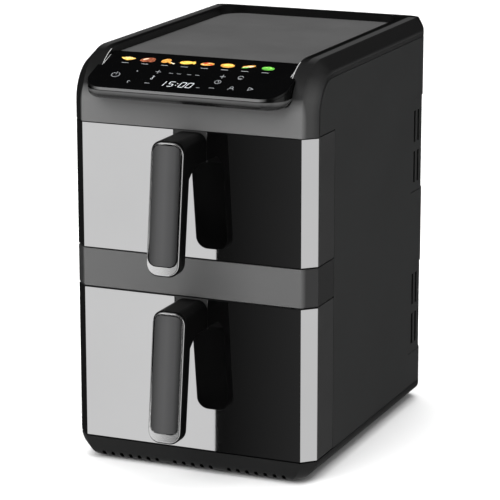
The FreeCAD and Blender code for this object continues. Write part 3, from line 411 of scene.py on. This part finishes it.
def circuitBoard(name, colour, roughness, track):
    # tracks under solder resist: stepped bands in both directions
    finish = Finish(name, colour, roughness)
    across = finish.add("ShaderNodeTexWave", {"bands_direction": "X"}, {
        "Vector": finish.place(), "Scale": 60.0, "Distortion": 3.0, "Detail": 1.0}, 1)
    along = finish.add("ShaderNodeTexWave", {"bands_direction": "Y"}, {
        "Vector": finish.place(), "Scale": 45.0, "Distortion": 4.0, "Detail": 1.0}, 1)
    tracks = finish.ramp(across * along, (0.42, 0.0), (0.5, 1.0))
    finish.feed("Base Color", finish.tint(tracks, colour, track))
    finish.bump(tracks, 0.2, 0.00004)
    return finish.material


def glowing(name, colour, strength):
    # a printed mark lit from behind, a little uneven across its width
    finish = Finish(name, colour, 0.4, Emission_Strength=strength)
    patch = finish.noise(300, 2.0)
    finish.feed("Emission Color", finish.tint(patch, tuple(c * 0.85 for c in colour), colour))
    return finish.material


def edgeHighlightGlass(name, colour, roughness):
    # painted highlight along the straight front edge, and painted dark reflection round the corners
    finish = Finish(name, colour, roughness)
    corner = finish.between(abs(finish.axis(0)), 0.084, 0.092)
    finish.feed("Base Color", finish.tint(corner, colour, (0.001, 0.001, 0.001)))
    finish.clouded(60, 2.0, 0.1, roughness)
    return finish.material


def picturePrint(name, colour, shade):
    # a printed picture lit from behind: two inks broken up by a fine mottle
    finish = Finish(name, colour, 0.35, Emission_Strength=0.55)
    mottle = finish.ramp(finish.noise(520, 4.0), (0.38, 0.0), (0.62, 1.0))
    inks = finish.tint(mottle, shade, colour)
    finish.feed("Base Color", inks)
    finish.feed("Emission Color", inks)
    return finish.material


def makeFinishes():
    made = {
        "casing_plastic": casingPlastic(
            "casingBlack", (0.027, 0.0275, 0.0275), (0.0088, 0.009, 0.009), 0.5,
            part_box("base_tray")[1].z + 0.0003),
        "fascia_plastic": fasciaPlastic(
            "fasciaGraphite", (0.094, 0.094, 0.094), (0.024, 0.024, 0.024), 0.42),
        "rim_plastic": rimPlastic("rimBlack", (0.118, 0.118, 0.118), (0.017, 0.017, 0.0172), 0.36),
        "tray_plastic": mouldedPlastic("trayGrey", (0.058, 0.058, 0.058), 0.62, 1800, 0.00005, 0.3),
        "gloss_black": bezelGloss("bezelBlack", 0.38, 0.3895, 0.24),
        "console_glass": glossPlastic(
            "consoleGlass", (0.0012, 0.0012, 0.0013), 0.05, Specular_IOR_Level=0.25),
        "foot_rubber": softRubber("footRubber", (0.02, 0.02, 0.02), 0.8),
        "polished_steel": mirrorSteel("polishedSteel", (0.86, 0.86, 0.865), 0.014),
        "chrome_trim": satinChrome("chromeTrim", (0.99, 0.99, 0.99), 0.09),
        "grip_plastic": gripRubber("gripSatin", (0.053, 0.053, 0.054), 0.15, 0.42),
        "handle_plastic": glossPlastic(
            "handleBlack", (0.0022, 0.0022, 0.0022), 0.34, Specular_IOR_Level=0.1),
        "inner_plastic": mouldedPlastic("innerBlack", (0.03, 0.03, 0.03), 0.5),
        "liner_steel": sheetMetal("linerSheet", (0.55, 0.55, 0.54), 0.32, (1, 60, 1), 0.35),
        "chassis_steel": sheetMetal("chassisSheet", (0.5, 0.5, 0.51), 0.4, (1, 60, 1), 0.6),
        "nonstick_coating": nonStick("nonStickCoat", (0.022, 0.022, 0.023), 0.42),
        "heater_steel": sheetMetal("heaterTube", (0.32, 0.26, 0.21), 0.38, (40, 1, 40), 0.1),
        "fan_aluminium": sheetMetal("fanSheet", (0.72, 0.72, 0.73), 0.3, (1, 1, 40)),
        "shaft_steel": sheetMetal("shaftSteel", (0.6, 0.6, 0.61), 0.22, (60, 1, 60)),
        "motor_steel": sheetMetal("motorCan", (0.16, 0.16, 0.17), 0.42, (1, 50, 1), 0.1),
        "silicone": softRubber("bumperSilicone", (0.03, 0.03, 0.03), 0.55),
        "circuit_board": circuitBoard("circuitBoard", (0.01, 0.09, 0.035), 0.35, (0.05, 0.24, 0.1)),
        "display_plastic": mouldedPlastic("lightGuide", (0.75, 0.75, 0.73), 0.5),
        "spring_steel": sheetMetal("springWire", (0.65, 0.64, 0.6), 0.28, (1, 1, 300)),
        "switch_plastic": glossPlastic("switchBlack", (0.02, 0.02, 0.021), 0.35),
        "magnet_ferrite": mouldedPlastic("ferrite", (0.05, 0.05, 0.052), 0.6, 2200),
        "screw_steel": sheetMetal("screwZinc", (0.45, 0.45, 0.44), 0.3, (60, 1, 60), 0.2),
        # painted shade: a near-black finish standing for the shade inside the vents
        "paintedVentShade": softRubber("paintedVentShade", (0.0008, 0.0008, 0.0008), 0.95, Specular_IOR_Level=0.05),
        "edgeGlint": glossPlastic("edgeGlint", (0.34, 0.34, 0.34), 0.22),
        "paintedEdgeHighlight": edgeHighlightGlass("paintedEdgeHighlight", (0.12, 0.12, 0.12), 0.3),
        "lit": glowing("litWhite", (0.7, 0.72, 0.75), 0.62),
        "printed": glowing("printedGrey", (0.36, 0.37, 0.39), 0.3),
    }
    inks = {
        "yellow": ((0.8, 0.5, 0.09), (0.55, 0.27, 0.03)), "gold": ((0.62, 0.32, 0.06), (0.35, 0.13, 0.02)),
        "brown": ((0.3, 0.09, 0.04), (0.12, 0.03, 0.015)), "cream": ((0.75, 0.66, 0.5), (0.5, 0.4, 0.28)),
        "red": ((0.6, 0.06, 0.03), (0.3, 0.02, 0.01)), "green": ((0.12, 0.42, 0.05), (0.04, 0.2, 0.02)),
        "lime": ((0.32, 0.6, 0.12), (0.16, 0.4, 0.06)),
    }
    for ink, (colour, shade) in inks.items():
        made[ink] = picturePrint("print" + ink.capitalize(), colour, shade)
    return made


finishes = makeFinishes()
slotOf = {part["node"]: part["material_slot"] for part in frame["record"]["subparts"]}
for nodeName, nodeObject in nodes.items():
    paint(nodeObject, finishes[slotOf[nodeName]])
print("finishes made:", len(finishes))


edgeBreak = {  # the bevel on each casing piece's edges, in metres
    "base_tray": 0.0006, "left_side_cover": 0.0008, "right_side_cover": 0.0008, "rear_cover": 0.0004,
    "middle_band": 0.0006, "top_frame": 0.0007, "top_tray": 0.0004, "console_bezel": 0.0006,
    "control_glass": 0.0004, "vent_grilles": 0.0005,
}
for level in levels:
    edgeBreak.update({
        level + "_front_skin": 0.0004, level + "_drawer_front": 0.0006, level + "_basket": 0.0003,
        level + "_handle_arm": 0.0008, level + "_handle_trim": 0.0009, level + "_handle_grip": 0.0012,
    })


def breakEdges(nodeName, width):
    source = nodes[nodeName]
    made = copied(source)
    makeActive(made)
    bpy.ops.object.mode_set(mode="EDIT")
    bpy.ops.mesh.select_all(action="SELECT")
    bpy.ops.mesh.remove_doubles(threshold=0.000002)
    bpy.ops.mesh.dissolve_limited(angle_limit=math.radians(0.4))
    bpy.ops.object.mode_set(mode="OBJECT")
    smooth(made)
    bevel = made.modifiers.new("edge", "BEVEL")
    bevel.width = width
    bevel.segments = 2
    bevel.limit_method = "ANGLE"
    bevel.angle_limit = math.radians(38)
    bevel.use_clamp_overlap = "_handle_trim" not in nodeName
    even = made.modifiers.new("even", "WEIGHTED_NORMAL")
    even.keep_sharp = True
    applyAll(made)
    settle(made, nodeName + "_soft")
    paint(made, finishes[slotOf[nodeName]])
    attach(made, source["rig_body"])
    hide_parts(nodeName)
    return made


def repaint(made, finishName, chosen):
    # a second finish on the faces that the test picks by their middle and their normal
    made.data.materials.append(finishes[finishName])
    for face in made.data.polygons:
        if chosen(face.center, face.normal):
            face.material_index = len(made.data.materials) - 1


def darkenHandle(level):
    # painted shade: the trim's pocket and walls and the grip's sloping edges are painted black, so only the
    # trim's rounded front is bright
    low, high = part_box(level + "_handle_grip")
    middle = (low + high) / 2

    def hidden(place, normal):
        arm = Vector((place.x - middle.x, 0, place.z - middle.z))
        return normal.dot(arm.normalized()) < -0.2 or abs(normal.x) > 0.93 or normal.y > 0.1

    repaint(softened[level + "_handle_trim"], "handle_plastic", hidden)
    repaint(softened[level + "_handle_grip"], "handle_plastic", lambda place, normal: normal.y > -0.9)


softened = {name: breakEdges(name, width) for name, width in edgeBreak.items()}
for level in levels:
    darkenHandle(level)
    # painted shade: each steel front's top and bottom faces are painted black, as the shade in the seams
    # beside them
    repaint(softened[level + "_front_skin"], "handle_plastic", lambda place, normal: abs(normal.z) > 0.2)
print("edges broken on", len(softened), "casing pieces")


shoulderGlint = {  # a painted highlight; start and end are how far behind the front face it runs, in metres
    "x": 0.1013, "thickness": 0.00042, "start": 0.0145, "end": 0.037, "bend": 0.052,
}


def makeShoulderGlints():
    # a painted highlight: a thin pale arc on each shoulder, where it comes down beside the glass
    deselect()
    bend = shoulderGlint["bend"]
    bpy.ops.mesh.primitive_torus_add(
        major_radius=bend, minor_radius=shoulderGlint["thickness"], major_segments=144, minor_segments=8,
        location=(-shoulderGlint["x"], frontFace + bend, topHigh.z - bend), rotation=(0, math.pi / 2, 0))
    left = settle(bpy.context.object, "shoulder_glint_left")

    def spare(vertex):
        run = vertex.co.y - frontFace
        return not (shoulderGlint["start"] < run < shoulderGlint["end"] and vertex.co.z > topHigh.z - bend)

    choose(left, "VERT", spare)
    bpy.ops.mesh.delete(type="VERT")
    bpy.ops.mesh.select_all(action="SELECT")
    bpy.ops.mesh.fill_holes(sides=0)
    bpy.ops.object.mode_set(mode="OBJECT")
    turnOutward(left)
    smooth(left, 50)
    right = copied(left)
    right.location.x = 2 * shoulderGlint["x"]
    settle(right, "shoulder_glint_right")
    for glintStrip in (left, right):
        paint(glintStrip, finishes["edgeGlint"])
        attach(glintStrip, "root")


makeShoulderGlints()
print("shoulders edged")


vent = {  # the plates' corner radius, and where the covers' openings for them start and end
    "corner": 0.0282, "coverStart": ventLow.y - 0.004, "coverEnd": topHigh.y - 0.03, "skin": 0.0001,
}
ventShadeSheet = {  # a hollow black sheet behind each level's slots, standing for the shade inside the casing; forward is how far its inner face is moved
    "x": 0.1192, "front": 0.1495, "back": 0.1895, "depth": 0.006, "forward": 0.002, "thickness": 0.001,
    "margin": 0.004, "soft": 0.0003, "heights": {"lower": (0.060, 0.159), "upper": (0.239, 0.341)},
}


def darkenVents():
    # painted shade: the slots' walls and the plates' edges are painted black, as the shade inside the vents
    corner = vent["corner"]

    def buried(place, normal):
        across = max(abs(place.x) - (ventHigh.x - corner), 0)
        back = max(place.y - (ventHigh.y - corner), 0)
        return corner - math.hypot(across, back) > vent["skin"]

    def opening(place, normal):
        return vent["coverStart"] < place.y < vent["coverEnd"] and abs(place.x) < topHigh.x - vent["skin"]

    repaint(softened["vent_grilles"], "paintedVentShade", buried)
    for side in sides:
        repaint(softened[side + "_side_cover"], "paintedVentShade", opening)


def makeVentShadeSheet(level, side):
    # a black sheet of painted shade behind one level's slots on one side
    low, high = ventShadeSheet["heights"][level]
    low, high = low + ventShadeSheet["margin"], high - ventShadeSheet["margin"]
    front, back = ventShadeSheet["front"], ventShadeSheet["back"]
    deselect()
    bpy.ops.mesh.primitive_plane_add(
        size=1, location=(sides[side] * ventShadeSheet["x"], (front + back) / 2, (low + high) / 2),
        rotation=(0, math.pi / 2, 0))
    made = bpy.context.object
    made.scale = (high - low, back - front, 1)
    settle(made, f"vent_shade_sheet_{level}_{side}")
    choose(made, "FACE", lambda face: True)
    bpy.ops.mesh.extrude_region_move(TRANSFORM_OT_translate={
        "value": (-sides[side] * ventShadeSheet["depth"], -ventShadeSheet["forward"], 0)})
    bpy.ops.object.mode_set(mode="OBJECT")
    turnOutward(made)
    sheet = made.modifiers.new("sheet", "SOLIDIFY")
    sheet.thickness = ventShadeSheet["thickness"]
    soft = made.modifiers.new("soft", "BEVEL")
    soft.width = ventShadeSheet["soft"]
    soft.segments = 2
    applyAll(made)
    turnOutward(made)
    smooth(made)
    paint(made, finishes["paintedVentShade"])
    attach(made, "root")


darkenVents()
for level in levels:
    for side in sides:
        makeVentShadeSheet(level, side)
print("vents shielded")


glassLow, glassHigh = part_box("control_glass")
glassTop = glassLow.z + 0.003
glassTilt = math.atan2(glassHigh.z - glassTop, glassHigh.y - glassLow.y)


def along(y):
    # from a place in the frame, in millimetres, to a distance up the glass
    return (y / 1000 - glassLow.y) / math.cos(glassTilt)


def tile(u, v, width, height, turn=0.0):
    deselect()
    bpy.ops.mesh.primitive_plane_add(size=0.001, location=(u / 1000, v, 0), rotation=(0, 0, turn))
    bpy.context.object.scale = (width, height, 1)
    return bpy.context.object


def oval(u, v, width, height, turn=0.0, corners=28):
    deselect()
    bpy.ops.mesh.primitive_circle_add(vertices=corners, radius=0.0005, fill_type="NGON",
                                      location=(u / 1000, v, 0), rotation=(0, 0, turn))
    bpy.context.object.scale = (width, height, 1)
    return bpy.context.object


def hoop(u, v, width, line, turn=0.0, corners=28, kept=1.0):
    # a ring, or with kept below 1 an arc of it
    made = oval(u, v, width, width, turn, corners)
    settle(made)
    bpy.ops.object.mode_set(mode="EDIT")
    bpy.ops.mesh.select_all(action="SELECT")
    bpy.ops.mesh.inset(thickness=line / 1000)
    bpy.ops.mesh.delete(type="FACE")
    bpy.ops.object.mode_set(mode="OBJECT")
    if kept < 1:
        def past(face):
            angle = math.atan2(face.center.y - v, face.center.x - u / 1000) - turn
            return (angle % math.tau) / math.tau > kept
        choose(made, "FACE", past)
        bpy.ops.mesh.delete(type="FACE")
        bpy.ops.object.mode_set(mode="OBJECT")
    return made


shapeMakers = {"tile": tile, "oval": oval, "hoop": hoop}


def onGlass(name, things, material, lift=0.00012):
    # lays flat shapes on the glass and gives them the thickness of a print
    made = joined(name, things)
    made.rotation_euler = (glassTilt, 0, 0)
    made.location = (0, glassLow.y - math.sin(glassTilt) * lift, glassTop + math.cos(glassTilt) * lift)
    settle(made)
    thick = made.modifiers.new("print", "SOLIDIFY")
    thick.thickness = 0.00008
    applyAll(made)
    turnOutward(made)
    paint(made, material)
    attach(made, "root")


digitStrokes = {"0": "abcdef", "1": "bc", "5": "afgcd"}  # which of the seven strokes each digit lights
strokePlaces = {  # across, up, and whether the stroke lies level
    "a": (0, 0.5, True), "g": (0, 0.0, True), "d": (0, -0.5, True), "f": (-0.5, 0.25, False),
    "b": (0.5, 0.25, False), "e": (-0.5, -0.25, False), "c": (0.5, -0.25, False),
}
timer = {  # where each character's middle is along the glass, in millimetres
    "characters": (("1", -23.4), ("5", -13.9), (":", -8.0), ("0", -1.9), ("0", 5.6)),
    "y": -148.8, "width": 5.0, "height": 9.0, "line": 0.48, "lean": 0.2, "dot": 1.0, "dotRise": 0.2,
}


def digit(character, u, v):
    # bars of a slanting seven-stroke digit
    wide, tall, line, lean = timer["width"], timer["height"], timer["line"], timer["lean"]
    bars = []
    for stroke in digitStrokes[character]:
        side, rise, level = strokePlaces[stroke]
        x = u + side * wide + rise * tall * lean
        y = v + rise * tall / 1000
        if level:
            bars.append(tile(x, y, wide - 1.25 * line, line))
        else:
            bars.append(tile(x, y, line, tall / 2 - 1.15 * line, -lean))
    return bars


def makeTimer():
    bars = []
    v = along(timer["y"])
    for character, place in timer["characters"]:
        if character != ":":
            bars += digit(character, place, v)
            continue
        for rise in (-timer["dotRise"], timer["dotRise"]):
            lean = rise * timer["height"] * timer["lean"]
            bars.append(oval(place + lean, v + rise * timer["height"] / 1000, timer["dot"], timer["dot"]))
    onGlass("timer_digits", bars, finishes["lit"])


printLine = 0.36
symbols = {  # shape, x and y in the frame, rise up the glass from there, then its own sizes, in millimetres
    "power": [("hoop", -78.0, -139.4, 0, 8.8, printLine, math.radians(110), 32, 0.88),
              ("tile", -78.0, -136.4, 0, printLine, 4.4)],
    "smallKeys": [("tile", -58.6, -130.6, 0, printLine, 2.8), ("tile", -59.2, -129.4, 0, 1.0, printLine),
                  ("hoop", -59.0, -149.6, 0, 2.6, printLine, 0.3, 24, 0.7),
                  ("oval", -59.4, -152.0, 0, 0.7, 0.7)],
    "warmer": [("tile", -36.6, -129.0, 0, 5.8, printLine), ("tile", -36.6, -129.0, 0, printLine, 6.4)],
    "longer": [("tile", 32.0, -129.0, 0, 5.8, printLine), ("tile", 32.0, -129.0, 0, printLine, 6.4)],
    "cooler": [("tile", -39.2, -150.2, 0, 5.6, printLine)],
    "shorter": [("tile", 29.6, -150.2, 0, 5.6, printLine)],
    "thermometer": [("hoop", -38.0, -140.0, -2.2, 2.4, printLine), ("tile", -37.6, -140.0, 1.4, 0.9, 4.6),
                    ("tile", -36.4, -140.0, 2.2, 1.0, printLine)],
    "clock": [("hoop", 31.2, -139.0, 0, 6.6, printLine), ("tile", 31.2, -139.0, 1.1, printLine, 2.4),
              ("tile", 32.0, -139.0, 0, 1.8, printLine)],
    "dashes": [*(("tile", x, -130.0, 0, 4.4, printLine) for x in (-22.7, -14.1, -3.0, 5.5)),
               ("tile", 15.6, -151.6, 0, 3.4, printLine)],
    "shake": [("hoop", 50.8, -129.0, 0.8, 5.6, printLine, 0.0, 28, 0.62),
              ("tile", 50.8, -129.0, -1.4, 4.6, printLine), ("tile", 50.8, -129.0, -2.6, 3.4, printLine)],
    "lamp": [("hoop", 49.2, -148.0, 1.2, 3.6, printLine),
             ("hoop", 49.2, -148.0, -3.0, 6.0, printLine, 0.0, 28, 0.5)],
    "start": [("hoop", 68.2, -147.0, 0, 7.0, printLine, -math.pi / 2, 3)],
}


def makeSymbols():
    parts = []
    for shapes in symbols.values():
        for kind, x, y, rise, *sizes in shapes:
            parts.append(shapeMakers[kind](x, along(y) + rise / 1000, *sizes))
    onGlass("touch_symbols", parts, finishes["printed"])


foods = {  # each picture's layers of colour, and their shapes: kind, across, up, width, height, turn
    "fries": [("yellow", [("tile", x, 0.3 * math.sin(3 * x), 1.0, 5.6 - 0.5 * abs(x), -x * 0.22)
                          for x in (-4.0, -2.9, -1.9, -0.9, 0.1, 1.1, 2.1, 3.1, 4.1)]),
              ("cream", [("tile", x, 0.6, 0.5, 3.4, x * 0.3) for x in (-2.4, -0.4, 1.5, 3.4)])],
    "steak": [("brown", [("oval", 0, 0, 11.5, 6.6, 0.25), ("oval", 2.6, -0.6, 6.2, 5.6, 0)]),
              ("cream", [("oval", -1.8, 0.9, 4.6, 1.1, 0.5)])],
    "drumstick": [("gold", [("oval", -1.2, 0.5, 7.6, 5.8, 0.5), ("oval", 2.4, -1.6, 4.0, 2.4, -0.6)]),
                  ("cream", [("tile", 4.4, -2.6, 2.6, 0.9, -0.5), ("oval", 5.7, -3.2, 1.6, 1.6, 0)])],
    "fish": [("yellow", [("oval", -0.6, 0, 10.4, 5.0, 0.1), ("oval", 4.9, 0.5, 2.6, 4.4, 0.2)]),
             ("brown", [("oval", -3.2, 0.7, 0.9, 0.9, 0)])],
    "shrimp": [("gold", [("oval", 0, 0, 10.2, 4.6, 0.1)]),
               ("red", [("oval", -1.6, 0.9, 4.4, 1.8, 0.5), ("oval", 2.6, -0.6, 3.4, 1.5, -0.4)]),
               ("cream", [("oval", -3.0, -0.9, 1.6, 0.9, 0.2), ("oval", 0.9, 1.0, 1.3, 0.7, 0.6)])],
    "cake": [("gold", [("oval", 0, 0, 10.6, 6.4, 0)]),
             ("yellow", [("oval", 0.3, 0.7, 7.4, 3.4, 0)])],
    "slice": [("gold", [("oval", 0.6, 0.9, 9.6, 3.6, 0.3)]),
              ("cream", [("oval", 0.2, 0.1, 8.4, 1.1, 0.3), ("oval", 2.2, 1.6, 3.6, 0.8, 0.3)]),
              ("green", [("oval", -1.4, -1.5, 5.6, 1.5, 0.25)])],
    "greens": [("green", [("oval", -2.6, 0.2, 4.2, 4.4, 0), ("oval", 0.2, 0.9, 4.6, 4.2, 0),
                          ("oval", 2.8, -0.1, 3.8, 4.2, 0), ("oval", -0.4, -1.5, 6.0, 2.6, 0)]),
               ("lime", [("oval", -1.6, 1.0, 1.7, 1.3, 0.4), ("oval", 1.8, 0.6, 1.9, 1.2, -0.3)])],
}
foodRow = {  # the row of pictures, in millimetres; spread and rise stretch each one across and up
    "first": -78.4, "pitch": 21.4, "y": -109.0, "spread": 1.4, "rise": 1.2,
    "labelDrop": 8.4, "labelWidth": 7.4, "labelLine": 0.45,
    "lift": 0.00012, "layer": 0.0001,  # in metres, off the glass and between two colours
}


def makeFoods():
    labels = []
    v = along(foodRow["y"])
    spread, rise = foodRow["spread"], foodRow["rise"]
    for number, (name, layers) in enumerate(foods.items()):
        middle = foodRow["first"] + number * foodRow["pitch"]
        under = v - foodRow["labelDrop"] / 1000
        labels.append(tile(middle, under, foodRow["labelWidth"], foodRow["labelLine"]))
        for depth, (colour, shapes) in enumerate(layers):
            things = []
            for kind, across, up, width, height, turn in shapes:
                place = (middle + across * spread, v + up * rise / 1000)
                things.append(shapeMakers[kind](*place, width * spread, height * rise, turn))
            lift = foodRow["lift"] + foodRow["layer"] * depth
            onGlass(f"picture_{name}_{colour}", things, finishes[colour], lift)
    onGlass("picture_labels", labels, finishes["printed"])


glint = {"x": 100.0, "y": -112.5, "width": 0.7, "length": 18}


def makeGlassEdge():
    # a thin skin on the glass's front and side edges, which carries the painted edge highlight
    made = copied(softened["control_glass"])
    choose(made, "FACE", lambda face: abs(face.normal.z) > 0.35 or face.center.y > glassHigh.y - 0.001)
    bpy.ops.mesh.delete(type="FACE")
    bpy.ops.object.mode_set(mode="OBJECT")
    skin = made.modifiers.new("skin", "SOLIDIFY")
    skin.thickness = 0.00012
    skin.offset = 1
    applyAll(made)
    settle(made, "glass_edge_highlight")
    paint(made, finishes["paintedEdgeHighlight"])
    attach(made, "root")


makeTimer()
makeSymbols()
makeFoods()
for side, sign in sides.items():
    strip = tile(sign * glint["x"], along(glint["y"]), glint["width"], glint["length"])
    onGlass("glass_glint_" + side, [strip], finishes["edgeGlint"])
makeGlassEdge()
print("marks laid on the glass")


cardPlane = frontFace - 1.5
studio = {
    "floorSize": 40.0, "floorTone": 0.9, "air": 0.5,
    "lamps": {  # place, aim, width, height, power
        "keyLight": ((-1.0, -3.3, 2.5), (0, 0, 0.25), 3.0, 2.4, 130),
        "topLight": ((0.0, 0.6, 4.2), (0, 0.6, 0), 6.0, 6.0, 330),
        "sideLight": ((3.2, 0.4, 1.2), (0, 0, 0.2), 1.6, 1.6, 6),
    },
    "cards": {  # corners in turn, and brightness; the dark card grows paler from one x to another
        "lightCard": ([(-5, cardPlane, -3), (-0.66, cardPlane, -3), (-0.631, cardPlane, 0),
                       (-0.60, cardPlane, 3), (-5, cardPlane, 3)], 0.66),
        "darkCard": ([(-0.66, cardPlane, -3), (3, cardPlane, -3), (3, cardPlane, 3),
                      (-0.60, cardPlane, 3), (-0.631, cardPlane, 0)], 0.006, (-0.63, -0.45, 0.026)),
        "rightCard": ([(3, -1.6, -3), (3, 0.2, -3), (3, 0.2, 3), (3, -1.6, 3)], 0.6),
        "backCard": ([(-6, 6, -4), (9, 6, -4), (9, 6, 3.4), (-6, 6, 3.4)], 0.015),
        "ceilingCard": ([(-6, -6, 3.4), (6, -6, 3.4), (6, 6, 3.4), (-6, 6, 3.4)], 0.012),
        "leftCard": ([(-5.9, -1, -3), (-5.9, 6, -3), (-5.9, 6, 3.3), (-5.9, -1, 3.3)], 0.01),
    },
}
view = {  # where the camera stands and the way it is turned
    "place": (1.00217, frontFace - 2.21427, 0.84255), "lens": 182.96, "sensor": 36.0, "far": 100,
    "right": (0.920742, 0.390171, -0.000437), "down": (0.094958, -0.225171, -0.969681),
    "ahead": (-0.378440, 0.892785, -0.244374),
}


def softbox(name, place, aim, width, height, power):
    bpy.ops.object.light_add(type="AREA", location=place)
    lamp = bpy.context.object
    lamp.name = name
    lamp.data.shape = "RECTANGLE"
    lamp.data.size, lamp.data.size_y = width, height
    lamp.data.energy = power
    lamp.rotation_euler = (Vector(aim) - Vector(place)).to_track_quat("-Z", "Y").to_euler()
    lamp.visible_camera = False
    lamp.visible_glossy = False


def reflectorCard(name, corners, tone, fade=None):
    # a card that only shiny surfaces see; fade is where along X it turns into a second tone
    deselect()
    bpy.ops.mesh.primitive_circle_add(vertices=len(corners), fill_type="NGON")
    card = bpy.context.object
    card.name = card.data.name = name
    for vertex, corner in zip(card.data.vertices, corners):
        vertex.co = corner
    finish = Finish(name, (0.0, 0.0, 0.0), 1.0)
    glow = finish.add("ShaderNodeEmission", {}, {"Color": (tone, tone, tone, 1), "Strength": 1.0})
    if fade:
        start, end, second = fade
        change = finish.add("ShaderNodeMapRange", {}, {
            0: finish.axis(0), 1: start, 2: end, 3: tone, 4: second})
        finish.tree.links.new(change.socket, glow.socket.node.inputs["Color"])
    finish.tree.links.new(glow.socket, finish.tree.nodes["Material Output"].inputs["Surface"])
    paint(card, finish.material)
    card.visible_camera = card.visible_diffuse = card.visible_shadow = card.visible_transmission = False


def makeStudio():
    deselect()
    bpy.ops.mesh.primitive_plane_add(size=studio["floorSize"], location=(0, 0, 0))
    floor = bpy.context.object
    floor.name = "studioFloor"
    finish = Finish("studioFloor", (studio["floorTone"],) * 3, 0.9, Specular_IOR_Level=0.1)
    finish.bump(finish.noise(120, 2.0), 0.02, 0.0002)
    paint(floor, finish.material)
    floor.visible_glossy = False
    for name, settings in studio["lamps"].items():
        softbox(name, *settings)
    for name, settings in studio["cards"].items():
        reflectorCard(name, *settings)
    world = bpy.data.worlds.new("studioAir")
    bpy.context.scene.world = world
    world.use_nodes = True
    world.node_tree.nodes["Background"].inputs["Color"].default_value = (0.9, 0.9, 0.9, 1)
    world.node_tree.nodes["Background"].inputs["Strength"].default_value = studio["air"]


def makeCamera():
    data = bpy.data.cameras.new("camera")
    camera = bpy.data.objects.new("camera", data)
    bpy.context.scene.collection.objects.link(camera)
    data.sensor_width, data.lens, data.clip_end = view["sensor"], view["lens"], view["far"]
    right, down, ahead = (Vector(view[way]) for way in ("right", "down", "ahead"))
    turn = Matrix((right, -down, -ahead)).transposed().to_4x4()
    camera.matrix_world = Matrix.Translation(view["place"]) @ turn
    bpy.context.scene.camera = camera
    bpy.context.scene.view_settings.view_transform = "Standard"


makeStudio()
makeCamera()
print("studio and camera placed")
